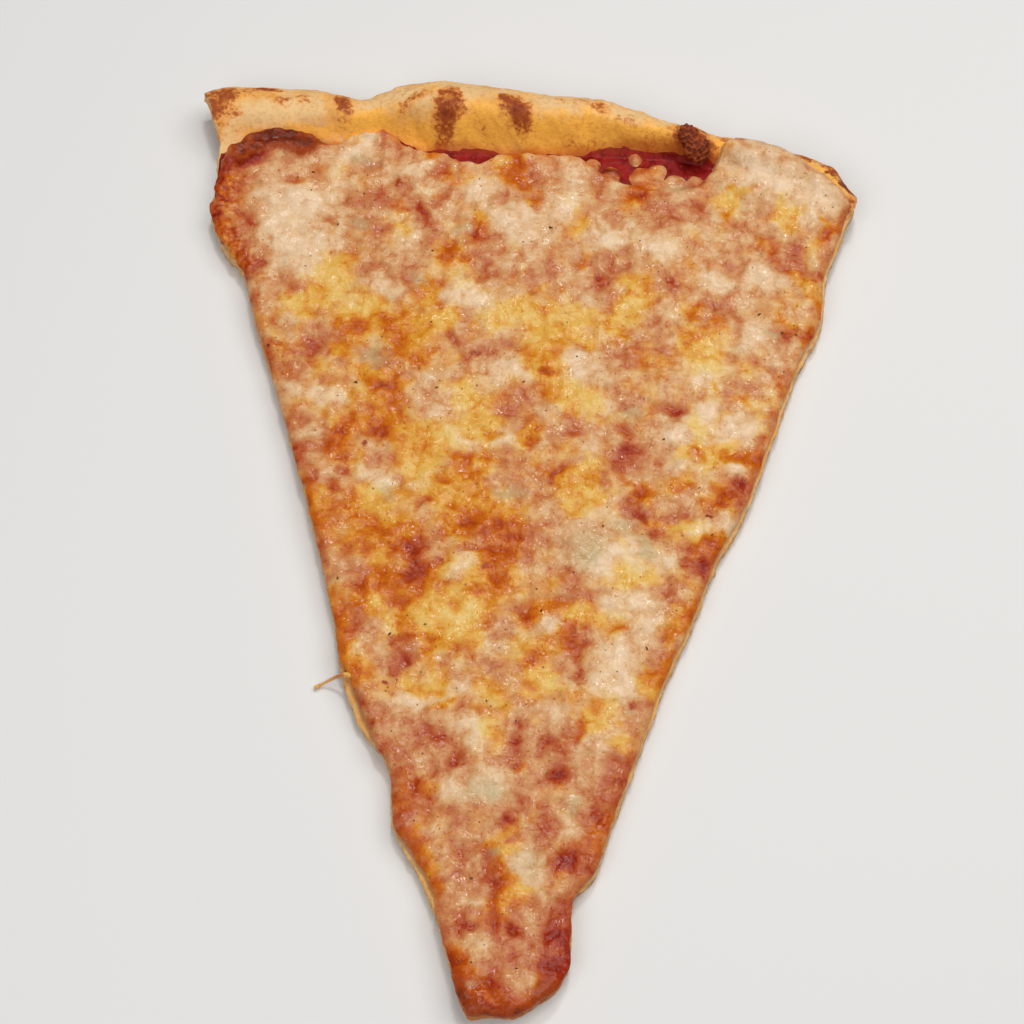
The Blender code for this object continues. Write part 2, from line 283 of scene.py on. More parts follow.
# Where the cheese's looks change, as the ovals that marks() takes
SAUCE_SPOTS = (  # the sauce breaks through
    (-80, 216, 4.5, 3, 60), (-83, 208, 2.4, 9, 5, 0.8), (-78, 196, 2, 5, 10, 0.7),
    (-76, 204, 2.4, 3, 0, 0.5), (-84, 219, 2, 4, 0, 0.3), (-78, 222, 4, 2, 30, 0.6),
    (-73, 223, 3, 2, 0, 0.4), (-70.5, 184, 3.2, 1.2, 80), (-65, 174.5, 2, 1.3, 40),
    (-65, 168, 1.2, 1), (-54.5, 167, 2.4, 1.8, 120), (-45, 175, 3.6, 2.2, 20), (-35, 175, 2.4, 4),
    (-22, 198, 1.8, 3.6), (-12.5, 193, 1.3, 3, -15), (-19, 173, 3, 1.3, -42),
    (-12.5, 168.5, 3.6, 1.9, 15), (-6, 171, 2.4, 1.3, 10), (-34, 156, 3.2, 2, -20),
    (-36.5, 218.5, 2.6, 1, -5), (-30, 211, 1.6, 2), (-25, 215, 1.6, 1.6), (-9, 216, 1.2, 2.2, 10),
    (-6, 224.5, 2.4, 4, 10), (-40, 204.5, 2.4, 2.4), (-54, 207, 0.9, 1.8, 20), (-16, 203, 1.6, 2),
    (-65, 218, 2.4, 1.6, 20), (-44, 222.5, 1, 2), (-2.5, 199, 1.4, 1.6), (27, 219.5, 3.4, 2.2, 30),
    (45, 216, 1.2, 3.4, -10), (31, 208, 2.4, 2.2), (57, 213.5, 1.6, 1), (74, 208.2, 1.6, 1),
    (77.5, 206, 0.9, 3.6, -10), (70.5, 201, 1.8, 1.6), (73, 197, 3.4, 1.5, -35),
    (48.6, 185.5, 2, 1.9), (54, 191, 1.1, 3, -10), (36.5, 190.5, 2.2, 1.6), (17, 208, 1.6, 1.3),
    (17, 193.5, 1.4, 4, 10), (24.3, 168.5, 2.2, 2.8), (23, 173.5, 1.8, 1.6), (53, 171, 1.8, 1.1),
    (63, 165.5, 1.1, 1.6, 20), (66, 163, 1, 1.2), (5, 164.8, 1.5, 1.2, 45),
    (6, 158.5, 2.4, 2.2, 20), (24, 159.8, 1.7, 1), (37.5, 153.5, 2.6, 2.8, 30),
    (68, 178.5, 2, 1.2, -10), (-46.5, 143.5, 1.6, 4.4, -25), (-35.5, 145.5, 2.6, 5, 15),
    (-44.5, 137, 2.2, 1.6, 10), (-46.2, 133.5, 1.5, 1.1), (-52.5, 130, 1.6, 2),
    (-47, 129, 3.4, 1.4, -20), (-54, 138.5, 3.4, 2.2, 30), (-36, 119.5, 2.6, 1.6, -15, 0.85),
    (-41, 112, 2.4, 2, 30), (-27, 112, 2.6, 3, 20, 0.8), (-25.5, 105.5, 2.4, 3, 10),
    (-23.5, 116, 1.5, 2.4), (-38, 102, 2.6, 1.7), (-32, 101, 4, 1.1), (-27, 98.5, 2.2, 1.4),
    (-12, 119.5, 2.4, 1.8, 20), (-11.5, 113, 2.8, 1.2, 5), (-2, 119, 5, 2), (-7, 108, 2, 2.4),
    (-5, 111.5, 2.4, 2, 20), (-3, 106, 1.4, 1.6), (-18.5, 132, 2.8, 1.6, -40), (-12, 137, 3, 2, 30),
    (-5.5, 136.3, 2, 2), (-24.5, 125, 2, 1.4), (-24, 90, 4.6, 1.2), (-27, 83.5, 3.2, 2),
    (2.8, 145, 2, 2), (13.5, 146, 2.6, 0.9, 10), (26.5, 147.5, 2, 2.2, 30), (27, 141, 3.2, 2.4, 20),
    (22, 134, 1.8, 1.8), (8.5, 136, 1.3, 1.9), (60.8, 145, 1.2, 2.8, 15), (58.5, 141, 2.4, 1.8, 20),
    (52.5, 142, 2.4, 1.2), (54.6, 133, 2.2, 2.2, 40), (51.8, 130.4, 2.6, 1, 10), (48, 126, 2, 1.8),
    (40.5, 134, 2.4, 1.2, -12), (29.5, 131, 2.4, 1.1), (27.5, 127, 1.7, 2.2, 20),
    (31, 122.3, 2.6, 0.8, -50), (34.3, 118, 2, 1.7), (39.5, 126, 2.8, 2.2), (7, 128.5, 2.6, 1.8),
    (44.5, 113, 2.8, 2.2, -20), (46.6, 110, 1, 1.9, 10), (48.3, 117, 1.2, 2.2, -15),
    (38, 103, 2.6, 1.8, -50), (13, 108, 1.6, 1.1), (3, 98, 2.2, 1.5, 20), (16, 93.5, 1.2, 2.6),
    (16, 89.3, 2.6, 2), (18, 84, 1.8, 3, 10), (5, 85.5, 1.8, 2.6), (19.5, 80.8, 1, 1.2),
    (-16.8, 65.3, 3.6, 1.9, -35), (-13, 58, 2, 1.4, -10), (-23, 52.3, 3, 2.4),
    (-25, 63.2, 2.8, 1.2), (-35, 73.8, 4.2, 0.7, 95), (-32.6, 66.3, 1, 1), (2.5, 66, 1.3, 4.4, -10),
    (11, 63, 1.6, 1.5), (16.5, 67, 1.2, 4, 10), (3, 57, 1.5, 0.9), (12, 56.5, 1.8, 2.2, 20),
    (30, 73.8, 0.8, 2.2), (26.3, 56.3, 2.2, 3.4, -20), (3, 46, 2, 2), (10.7, 44.3, 1.6, 2.4),
    (24, 47, 1.6, 3, 10), (16, 36, 3, 2.4), (-2.4, 33, 1.2, 3.6, 15), (-0.5, 25.5, 1.6, 4, 10),
    (1.3, 20.5, 2.6, 2), (3, 18.7, 0.9, 0.9), (8.7, 17, 0.9, 0.9), (-5.5, 18, 1.8, 1.2),
    (16, 20.5, 4.4, 1.9, 80), (15, 12.5, 5, 2.8, 75), (13, 6.5, 3, 2, 50), (16.5, 21, 7, 2.8, 88),
    (16, 14, 5, 2.8, 78), (57, 235.5, 6, 0.9, 0, 0.7), (66, 232, 4, 0.9, -30, 0.7),
    (74, 226, 5, 0.9, -40, 0.7),
)
BLUSH = (  # the cheese is thin, and the sauce shows through it
    (-77, 222, 5, 3, 30), (-78, 203, 4.5, 10, 8), (-74, 190, 2.6, 7, 18), (-55, 170, 5, 4.5),
    (-40, 166, 3.6, 2.8), (-65, 186, 3.6, 2.8), (-60, 160, 3, 6, 15), (-57, 158, 3, 1.8),
    (-43, 213, 7, 3), (-46, 206, 3.6, 2.6), (-46, 225, 3.6, 2.6), (-24, 226, 5, 2.6),
    (-38, 229, 4, 2.4), (-10, 194, 4.4, 5), (-14, 202, 4, 5), (-2, 155, 4, 5), (3, 194, 5, 2.6),
    (1, 224, 4.6, 5), (-12, 170, 8, 4, -10), (-30, 208, 4, 5), (-41, 190, 5, 3), (-33, 193, 4, 5),
    (32, 215, 4, 5), (43, 214, 3.4, 3), (53, 199, 4.6, 5), (62, 203, 3.6, 4), (66, 200, 4, 3),
    (49, 186, 5, 5), (33, 195, 5, 3), (24, 198, 4, 4), (18, 193, 3, 5), (24, 169, 4, 5.4),
    (36, 174, 4, 2.6, 30), (60, 171, 2.4, 1.8), (27, 156, 4, 3), (38, 154, 4.4, 4.4),
    (66, 178, 4.4, 2.6), (12, 147, 5, 3), (29, 142, 8, 4), (34, 139, 5, 3), (8, 133, 5, 4.6),
    (-1, 131, 5, 4), (-36, 136, 3.6, 3), (-28, 138, 2.4, 2.2), (-31, 132, 2, 2), (-55, 145, 4, 5),
    (-55, 138, 4, 4), (40, 126, 5, 4), (33, 124, 5, 3, -30), (12, 119, 5, 4), (3, 116, 6, 4),
    (14, 102, 5, 3), (45, 113, 5, 4), (37, 104, 4, 4, -40), (55, 134, 4, 3.4, 40), (-6, 116, 5, 3),
    (-44, 108, 4, 6, 15), (-25, 110, 6, 9), (-37, 94, 5, 4), (-40, 107, 4, 3), (-27, 84, 5, 5),
    (-3, 93, 3.6, 3), (-8, 82, 7, 3.6), (34, 90, 4, 3.6), (17, 87, 4.4, 6), (-30, 67, 5, 4),
    (-22, 60, 6, 5), (-16, 64, 6, 4.4, -30), (3, 65, 4, 7), (12, 60, 5, 6), (-8, 56, 5, 3),
    (25, 56, 5, 5.4), (29, 74, 3.4, 2.6), (3, 49, 5, 4), (10, 46, 4, 4), (23, 48, 4, 6),
    (18, 37, 5, 5), (-20, 46, 5, 4), (-9, 46, 4, 3), (-8, 38, 4, 3), (-4, 19, 6, 5), (5, 17, 6, 4),
    (3, 9, 6, 4), (14, 16, 4, 11, -5), (-6, 29, 3.4, 3), (7, 25, 3.4, 2.4), (57, 233, 6, 3, 10),
    (68, 229, 4, 2, -35),
)
AMBER = (  # orange-brown, where the fat has browned
    (-45, 175, 6, 4, 10), (-34, 176, 5, 5.4), (-28, 172, 2.2, 8), (-47, 168, 2.2, 3),
    (-28, 166, 2.4, 2.4), (-26, 186, 2.2, 3.6, -30), (-22, 197, 3, 4.4), (-34, 156, 5, 3.4),
    (-39, 160, 6, 2, -40), (-37, 211, 1.8, 3, 20), (-15, 209, 4, 2.4, -30), (-6, 224, 4, 5.4),
    (-2, 216, 3.2, 1.8), (-22, 222, 8, 2), (-28, 229.5, 4.6, 1.8, -10), (-49, 193, 1.8, 1.8),
    (28, 219, 5, 3, 20), (52, 214, 4.6, 1.3, 65), (56, 220, 4.4, 1, 15), (67, 213, 4.6, 1.2, -35),
    (76, 211.5, 2, 1.2), (26, 188.3, 3.4, 1, 5), (42, 183.5, 3.4, 2, -20), (49, 181, 2, 2),
    (13.5, 197.2, 2.2, 1), (4, 182.3, 2, 1.1, 10), (8, 188, 1, 1), (26.2, 176, 1.6, 1.7),
    (42, 176.5, 2, 1.6), (5, 167, 3.6, 5.4), (7, 159, 3.6, 3), (55.5, 158.3, 1.2, 1.2),
    (49, 161, 0.7, 2), (68, 181, 3.4, 0.9, -25), (73, 178, 1.2, 2.6), (75, 190, 1.6, 22, 8),
    (79, 209, 1.6, 8, 12), (-34, 148, 5, 9, 10), (-46, 143, 3, 6, -20), (-43, 137, 4, 3, 20),
    (-51, 123, 4, 9, 18), (-41, 124, 6, 3.4), (-40, 117, 8, 5, -10), (-30, 113, 8, 5, 20),
    (-24, 105, 6, 7), (-34, 102, 9, 3.4), (-12, 120, 5, 3.4, 20), (-13, 127, 8, 5),
    (-11, 137, 5, 3.4, 20), (-3, 119, 7, 3), (-6, 110, 5, 5), (-5, 103, 5, 3.4), (-8, 145.5, 6, 2),
    (2.5, 146, 3.4, 3.4), (-20, 90, 7, 2), (-40, 88, 3, 6, 10), (-20, 85, 2.4, 3), (30, 131, 4, 2),
    (40, 134, 3.6, 2, -10), (48, 142.6, 5, 1.4, 5), (57, 142, 5, 2.4, 10), (49, 130, 3.4, 5, 20),
    (48, 117, 2, 4, -20), (7, 98, 6, 2.4), (26, 94.3, 2.4, 0.7), (5, 87, 4, 4.6),
    (14, 92, 4, 2.4, 20), (44.5, 98, 1.8, 9, -18), (39, 86, 2.4, 4, -15), (35, 82, 2.4, 3.6),
    (-39, 77, 2, 6, 15), (-16, 72.6, 4, 1), (-18, 77, 2, 1.4), (16.5, 66, 2, 6, 10),
    (13, 58, 2.4, 2), (4, 57, 2, 1.4), (-18, 36.5, 2.2, 5, 15), (-13, 28.5, 2, 2.2),
    (-21, 50, 5, 4), (-21, 41, 1.4, 5, 18), (1, 31, 3, 2), (0, 24, 4, 6), (17, 37, 6, 5, 20),
    (24, 44, 2, 6, 15), (-10, 12, 2, 8, 22), (-4, 3, 6, 2.4, -35), (5, 2, 8, 2.6, 10),
    (12, 7, 5, 3, 50), (-1, 36, 4, 2.4),
)
GOLD = (  # yellow, where the fat has run clear
    (-52, 184, 8, 5, 10), (-45, 180, 6, 3), (-25, 176, 2.4, 6), (-8, 179, 9, 3), (5, 177.5, 9, 5.4),
    (13, 172.3, 5, 1.5, 5), (14, 182, 1.8, 5), (-34, 204, 5, 2.4), (-17, 156, 3, 3),
    (-55, 192, 4, 3), (13, 207, 1.8, 2.4), (24, 181, 7, 3), (15, 156, 8, 3.4), (27, 192, 4, 2.4),
    (52, 217, 4, 3.6, 30), (66, 214, 6, 3, -20), (-15, 146.5, 8, 4.4), (-25, 138, 4, 6),
    (-22, 95, 6, 5), (-12, 92, 6, 5), (-35, 124, 6, 3), (-20, 128, 7, 4), (17, 128, 5, 3.4),
    (13, 134, 3, 6), (29, 108, 3.6, 5.4, 20), (18, 98, 5, 3), (44, 149, 1.6, 4.6, 35),
    (42, 143, 5, 1.6), (-6, 78.5, 8, 2.4), (-22, 77, 5, 3.6), (8, 80, 5, 2.6), (22, 70, 4, 5),
    (28, 64, 2.4, 2), (-4, 66, 4, 3.4), (3, 38, 3, 2), (5, 28, 3.4, 2.4), (-14, 34, 2.6, 4),
    (0, 41, 6, 1.8), (33, 122, 3, 1.2, 20), (41, 122, 4, 2, 15), (-10, 99, 6, 4), (-35, 98, 3, 2),
    (35, 80, 3, 5), (46, 171, 4, 5), (-60, 181, 3, 2), (50, 142, 6, 2),
)
CREAM = (  # thick and pale
    (-65, 203, 7, 8, 20), (-61, 195, 6, 4.6, -20), (-72, 213, 3.4, 3.4), (-62, 212, 5, 5),
    (-52, 154, 7, 2.6), (-15, 185, 7, 4), (-48, 230.5, 7, 2.4, 5), (-5, 208, 6, 4),
    (-17, 219, 4, 3), (58, 229, 7, 6), (67, 223, 6, 6), (74, 218, 5, 5), (61, 223, 4, 4),
    (15, 165, 4.6, 4), (46, 165, 4, 4), (46.5, 153, 3, 5, 20), (60, 195, 4, 4), (50, 193, 3.6, 2),
    (21, 204, 5, 3), (8, 212, 5, 3), (-40, 134, 5, 2.4), (-35, 129.5, 5, 1.8), (-54, 143, 2.8, 1.4),
    (-14, 141.5, 8, 2.2), (-5, 143, 3, 1.6), (-12, 108, 4, 3.4), (30, 100, 7, 2.8),
    (33, 96.5, 6, 2.2), (25, 86, 5, 4.6), (38, 147.5, 4, 2.6), (55, 150, 4.6, 4), (44, 136, 4, 3),
    (45, 119.5, 4, 2.6, 20), (54, 138, 3, 1.6), (27, 114.5, 5, 3.6), (52, 124, 3, 3.6, 20),
    (38, 113, 3, 2.4), (-8, 66, 2.8, 4), (-4, 53, 5, 3.4), (26, 79, 5, 3.6), (15, 45, 2, 2.6),
    (-24, 73, 3, 2), (8, 34, 3.4, 3.4), (-5, 26, 2.4, 2.6), (8, 8, 2.2, 2), (-13, 53, 4, 3),
    (-38, 187, 5, 2), (-5, 165, 5, 2.6), (58, 176, 5, 3), (33, 203, 6, 3), (-2, 12, 4, 3, 0, 0.7),
    (5, 8.5, 4, 3, 0, 0.8), (10, 224, 3, 2), (-33, 222, 4, 2), (74, 190, 3, 3), (20, 113, 5, 4),
)
# Grey-green patches: thin see-through cheese, darkened as well by painted shade
OLIVE_AND_SHADE = (  # grey-green and see-through
    (17, 114.5, 4.6, 4, 20), (28, 152, 3, 2), (-33, 127, 2, 2), (33, 115.5, 2, 1.4),
    (-47, 226, 3, 2), (-46, 206, 2, 1.6), (-40, 166, 3, 2.4), (-20, 204, 1.6, 1.4),
    (-29, 188.5, 2.6, 1.4, -20), (17, 49.5, 1.8, 1.2), (-1, 36.5, 1.6, 1.6), (30, 71.5, 1.4, 0.9),
    (-2, 128, 2.4, 2), (-6, 7, 1.8, 1.2, 30), (38, 222, 3.4, 2), (-4, 52, 4, 2.4),
    (7, 35, 3, 3, 0, 0.5), (26, 121, 3, 2), (63, 177.5, 2, 1),
)
SCORCH = (  # burnt
    (-66, 230, 7, 3.6, 3), (-80, 224.6, 3.6, 2.6, 50, 0.9), (-74, 228.5, 4.4, 3.6, 25, 0.95),
    (-60, 230, 3, 2), (20, 226.2, 3, 1.6, -35), (81.5, 223.5, 3.6, 1.2, -45),
    (-13, 168.3, 2, 1, 0, 0.6), (48.7, 185.6, 1, 1, 0, 0.7), (26.3, 56, 1.1, 1.1, 0, 0.6),
    (-30.5, 78.6, 1.1, 0.6, 10, 0.8), (31.4, 121.8, 1.5, 0.5, -50, 0.8),
    (47, 125, 0.6, 0.8, 0, 0.9), (-35.5, 156, 1, 0.8, 0, 0.7), (8.6, 136.3, 0.7, 0.9, 0, 0.7),
    (3, 18.7, 0.7, 0.7, 0, 0.7), (-39.8, 141.8, 0.8, 0.7, 0, 0.7), (-7, 108, 1, 1.2, 0, 0.5),
    (-12, 119.6, 1, 0.8, 0, 0.6), (-28.6, 188, 1.6, 0.7, -20, 0.6), (-6.5, 4, 5, 2.6, -32, 0.9),
    (3, 0.5, 7, 2.2, 10, 0.8), (13, 5, 4, 2.4, 50, 0.6), (34, 118, 1.3, 0.9, 0, 0.4),
    (-36.8, 218.6, 1.4, 0.6, 0, 0.5), (-20, 110.3, 0.9, 0.8, 0, 0.6),
)
RIDGE = (  # raised, as well as burnt
    (-81, 223.4, 4, 3, 50), (-76, 227, 5, 4, 25), (-68, 229.6, 7, 4, 3), (-61, 229.4, 4, 3),
)

# Where the dough's looks change, as ovals
TOASTED = (  # brown
    (-54.5, 242, 2, 2.2), (-52.5, 239, 2, 2.4, 20), (-54, 235, 2.4, 1.6, 0, 0.35),
    (-23.5, 240.6, 3, 3.4), (-26, 237.4, 3.2, 3, 20, 0.9), (-25.5, 233.6, 2.6, 2.6, 30, 0.65),
    (-6.5, 239.4, 3.8, 3.4, 0, 0.9), (-4.4, 236.6, 2.6, 2.6, 30, 0.8),
    (-9.5, 241.5, 1.8, 1.4, 0, 0.6), (-33, 242, 4, 1.6, 10, 0.5), (-37, 239.6, 1.6, 1.4, 0, 0.4),
    (-43.5, 240, 2, 1.2, 0, 0.3), (16.5, 241.4, 3, 1.5, -10, 0.7), (9, 243.5, 6, 1.2, 0, 0.35),
    (25, 238, 5, 1.4, -15, 0.35), (12, 234, 6, 1.4, 0, 0.3), (31, 234, 3, 2, 0, 0.35),
    (47, 231, 2.4, 2.6, 0, 0.5), (-88.5, 237.5, 4.6, 8, -8, 0.8), (-84, 242.6, 6, 2.2, 5, 0.6),
    (-75, 245.4, 4, 1.3, 5, 0.85), (-71.5, 240.5, 3.4, 2, 0, 0.45), (-64, 242, 3, 1.4, 0, 0.4),
    (-83, 236.5, 3, 2, 0, 0.35), (52, 236.5, 4, 1.6, 0, 0.6), (80, 227.5, 5, 2, -50, 0.8),
    (71, 232.5, 5, 1.6, -25, 0.7), (-15, 236, 2, 1.4, 0, 0.3), (84, 217, 2, 4, 0, 0.6),
    (41.8, 233.2, 6.6, 4.6, 133, 0.9),
)
CHARRED = (  # darker still
    (82.5, 222.5, 4, 1.4, -50, 0.9), (78, 227, 3, 1, -50, 0.6), (73, 231, 4, 0.8, -30, 0.5),
    (-22.6, 241.4, 1.2, 1.6, 0, 0.7), (-24.6, 237.6, 1.6, 1.6, 20, 0.6),
    (-27, 235.4, 1, 1.6, 0, 0.45), (-5.8, 238.6, 1.5, 1.9, 0, 0.75),
    (-53.6, 241.2, 1.2, 1.8, 0, 0.6), (-91, 241, 1.6, 3, 0, 0.4), (-75, 246, 3, 0.7, 5, 0.5),
)
PALE = (  # floury
    (-73, 237, 9, 3.4, 5), (-64, 239, 5, 3, 0, 0.7), (4, 242.5, 5, 2.8), (-37, 243.4, 4, 3, 0, 0.8),
    (24, 240, 6, 2.6, -15, 0.8), (-16, 245, 3, 1.8, 0, 0.6), (34, 238, 3, 1.6, 0, 0.6),
    (60, 236.8, 4, 1, 0, 0.5), (-84, 233, 3, 3, 0, 0.6), (-45, 242, 3, 2, 0, 0.6),
)
GREASED = (  # soaked with yellow fat
    (-46, 236, 8, 3.4), (-16, 235, 9, 5), (0, 234.5, 9, 3.4), (18, 236, 14, 4), (-31, 234, 8, 3),
    (50, 234, 3, 3), (-60, 234, 8, 1.6, 0, 0.8), (33, 235, 6, 3, 0, 0.8),
    (-75, 232.6, 8, 1.2, 15, 0.2), (76, 226, 8, 3, -40, 0.7),
)


# ---------------------------------------------------------------- closed pieces


def left_cut(y):
    return through(LEFT_CUT, y)


def right_cut(y):
    return through(RIGHT_CUT, y)


def rim_back(x):
    return through(RIM_BACK, x)


def cheese_left(y):
    return left_cut(y) + through(CHEESE_IN_LEFT, y)


def cheese_right(y):
    return right_cut(y) - through(CHEESE_IN_RIGHT, y)


def evenly_along(path, spacing):
    """The same path with its points a spacing apart."""
    run = np.concatenate(([0], np.cumsum(np.hypot(*np.diff(path, axis=0).T))))
    at = np.linspace(0, run[-1], round(run[-1] / spacing) + 1)
    return np.column_stack([np.interp(at, run, path[:, k]) for k in (0, 1)])


def outline(left, right, low, back, spacing):
    """A closed loop in the plan, anticlockwise: up the right cut, along the back and down the left."""
    up = np.linspace(low, 250, 2500)
    right_y = up[up < back(right(up))]
    left_y = up[up < back(left(up))][::-1]
    across = np.linspace(right(right_y[-1]), left(left_y[0]), 800)[1:-1]
    sides = (right(right_y), right_y), (across, back(across)), (left(left_y), left_y)
    path = np.hstack((*sides, (right(right_y[:1]), right_y[:1]))).T
    return evenly_along(path, spacing)[:-1]


def outward(loop):
    """The way out at each place of an anticlockwise loop."""
    along = np.roll(loop, -1, axis=0) - np.roll(loop, 1, axis=0)
    along /= np.linalg.norm(along, axis=1)[:, None]
    return np.column_stack((along[:, 1], -along[:, 0]))


def roughened(loop, amount, seed):
    """The loop with an uneven edge, most of all where the slice was torn by its left corner."""
    x, y = loop.T
    torn = smooth_step((y - 184) / 8) * smooth_step((222 - y) / 6) * (x < 0)
    shift = noise(x, y, 5, seed) + 0.5 * noise(x, y, 2, seed + 1)
    shift = shift * (1 + 0.8 * torn) + 2.4 * torn * noise(x, y, 2.4, seed + 2)
    return loop + amount * shift[:, None] * outward(loop)


def lattice(spacing):
    """Places in staggered rows over the slice and a little past it, each a bit out of line."""
    rows = np.arange(-2, 270, 0.866 * spacing)
    x, y = np.meshgrid(np.arange(-96, 90, spacing), rows)
    x = x + spacing / 2 * (np.arange(len(x)) % 2)[:, None]
    shake = np.random.default_rng(5).uniform(-0.12, 0.12, (2, *x.shape)) * spacing
    return (x + shake[0]).ravel(), (y + shake[1]).ravel()


def covering(flat, count):
    """Triangles over flat places, of which the first count are the loop around the others."""
    border = [(k, (k + 1) % count) for k in range(count)]
    found = delaunay_2d_cdt([Vector(place) for place in flat], border, [], 1, 1e-7)
    faces, sources = found[2], found[3]
    return np.array([[sources[k][0] for k in face] for face in faces])


def closed_piece(name, count, top_flat, top, bottom_flat, bottom, rings):
    """A closed mesh from a top, a bottom, and the rings of the wall between them.

    The first count places of top and bottom are their loops, and the flat places are where each
    one lies when it is unrolled.
    """
    start = len(top) + len(bottom)
    levels = [np.arange(count)]
    levels += [start + count * k + np.arange(count) for k in range(len(rings))]
    levels += [len(top) + np.arange(count)]
    faces = [covering(top_flat, count), covering(bottom_flat, count)[:, ::-1] + len(top)]
    for upper, lower in zip(levels, levels[1:]):
        next_upper, next_lower = np.roll(upper, -1), np.roll(lower, -1)
        faces.append(np.column_stack((upper, lower, next_lower)))
        faces.append(np.column_stack((upper, next_lower, next_upper)))
    mesh = bpy.data.meshes.new(name)
    mesh.from_pydata(put(np.vstack((top, bottom, *rings))), [], np.vstack(faces))
    mesh.update()
    mesh.shade_smooth()
    piece = bpy.data.objects.new(name, mesh)
    bpy.context.scene.collection.objects.link(piece)
    return piece


def wall(loop, upper, lower, bulges):
    """The rings between a top and a bottom, one for each (share of the way down, bulge out)."""
    out = outward(loop)
    upper, lower = upper[: len(loop)], lower[: len(loop)]
    return [
        np.column_stack((loop + (bulge * out.T).T, upper * (1 - share) + lower * share))
        for share, bulge in bulges
    ]


def sheet(name, loop, top_flat, top_z, bottom_flat, bottom_z, bulges):
    """A closed mesh over and under flat places, with a wall() around it."""
    return closed_piece(
        name,
        len(loop),
        top_flat,
        np.column_stack((top_flat, top_z)),
        bottom_flat,
        np.column_stack((bottom_flat, bottom_z)),
        wall(loop, top_z, bottom_z, bulges),
    )


def read(piece, what):
    """One vector for each of the piece's vertices."""
    values = np.empty(3 * len(piece.data.vertices))
    piece.data.vertices.foreach_get(what, values)
    return values.reshape(-1, 3)


def places_of(piece):
    """The piece's vertices in the plan, in millimetres."""
    return (read(piece, "co") - np.array(ORIGIN)) / MM


def swell(piece, amounts):
    """Moves each vertex out along its normal, in millimetres."""
    moved = places_of(piece) + read(piece, "normal") * amounts[:, None]
    piece.data.vertices.foreach_set("co", put(moved).ravel())
    piece.data.update()


def note(piece, name, values):
    """Keeps a value for each vertex, for the material to read."""
    layer = piece.data.attributes.new(name, "FLOAT", "POINT")
    values = np.broadcast_to(values, len(piece.data.vertices))
    layer.data.foreach_set("value", values.astype(np.float32))


def kept(places, *tests):
    """The places that pass every test."""
    chosen = np.logical_and.reduce(tests)
    return [values[chosen] for values in places]


# ---------------------------------------------------------------- the dough

# Where the rim's skin turns over, as a share of the rim, and its lengths before and after that
TOP_ROLL = (CREST_AT, 12.5, 13)
BOTTOM_ROLL = (UNDERCUT_FROM, 10, 8)
# The mesh's fine spacing, its coarse one, and where it turns fine, from the rim's foot
TOP_MESH = (0.45, 3, -6)
BOTTOM_MESH = (1.3, 3.5, 2)
NOSE_FROM = 0.9  # the share where the wall between top and bottom is the rim's nose
NOSE_BULGE = 0.35
CRUMB_UP_TO = 0.93  # no open crumb further back than that share
BLISTERS = ((26, 21, 3.4, 0.5), (120, 22, 1.5, 0.25), (500, 23, 0.7, 0.16))


def turned_over(x, y, turn):
    """From 0 where the rim's skin starts to turn over, at that share, to 1 at its nose."""
    return np.arcsin(np.clip((rim_share(x, y) - turn) / (1 - turn), 0, 1)) / (np.pi / 2)


def unrolled(x, y, roll):
    """How far along the rim's curved skin a place lies, counted on from the foot's y."""
    turn, before, after = roll
    share = rim_share(x, y)
    up = np.clip(share / turn, 0, 1)
    along = through(RIM_FOOT, x) + before * up + after * turned_over(x, y, turn)
    return np.where(share < 0, y, along)


def rolled(x, along, roll):
    """unrolled() the other way: the y of a place that far along."""
    turn, before, after = roll
    foot = through(RIM_FOOT, x)
    up = np.clip((along - foot) / before, 0, 1)
    over = np.clip((along - foot - before) / after, 0, 1)
    share = turn * up + (1 - turn) * np.sin(over * np.pi / 2)
    return np.where(along < foot, along, foot + share * (rim_back(x) - foot))


def dough_places(spacing, coarse, fine_from, roll):
    """Flat places inside the dough, fine on the rim and along the cuts and coarse elsewhere."""
    chosen = []
    for step, is_fine in ((spacing, True), (coarse, False)):
        x, along = lattice(step)
        y = rolled(x, along, roll)
        edge = np.minimum(x - left_cut(y), right_cut(y) - x)
        end = through(RIM_FOOT, x) + roll[1] + roll[2]
        near = (along > through(RIM_FOOT, x) + fine_from) | (edge < 5) | (y < 6)
        inside = (edge > 0.7) & (y > 0.7) & (along < end - 0.4)
        chosen.append(kept((x, along), inside, near == is_fine))
    return np.hstack(chosen)


def add_dough(material):
    """The base and its rim, thin under the cheese and puffed up, blistered and browned behind."""
    loop = roughened(outline(left_cut, right_cut, 0, rim_back, 0.5), 0.3, 11)
    top_x, top_along = dough_places(*TOP_MESH, TOP_ROLL)
    bottom_x, bottom_along = dough_places(*BOTTOM_MESH, BOTTOM_ROLL)
    lx, ly = loop.T
    tx, ty = np.append(lx, top_x), np.append(ly, rolled(top_x, top_along, TOP_ROLL))
    bx, by = np.append(lx, bottom_x), np.append(ly, rolled(bottom_x, bottom_along, BOTTOM_ROLL))
    top_z, bottom_z = dough_top(tx, ty), dough_bottom(bx, by)
    bulge = NOSE_BULGE * (rim_share(lx, ly) > NOSE_FROM)
    bulges = [(share, bulge * np.sin(np.pi * share)) for share in np.linspace(0, 1, 8)[1:-1]]
    piece = closed_piece(
        "crust",
        len(loop),
        np.column_stack((tx, np.append(unrolled(lx, ly, TOP_ROLL), top_along))),
        np.column_stack((tx, ty, top_z)),
        np.column_stack((bx, np.append(unrolled(lx, ly, BOTTOM_ROLL), bottom_along))),
        np.column_stack((bx, by, bottom_z)),
        wall(loop, top_z, bottom_z, bulges),
    )
    shape_dough(piece)
    colour_dough(piece)
    piece.data.materials.append(material)
    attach(piece, "root")
    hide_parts("dough")


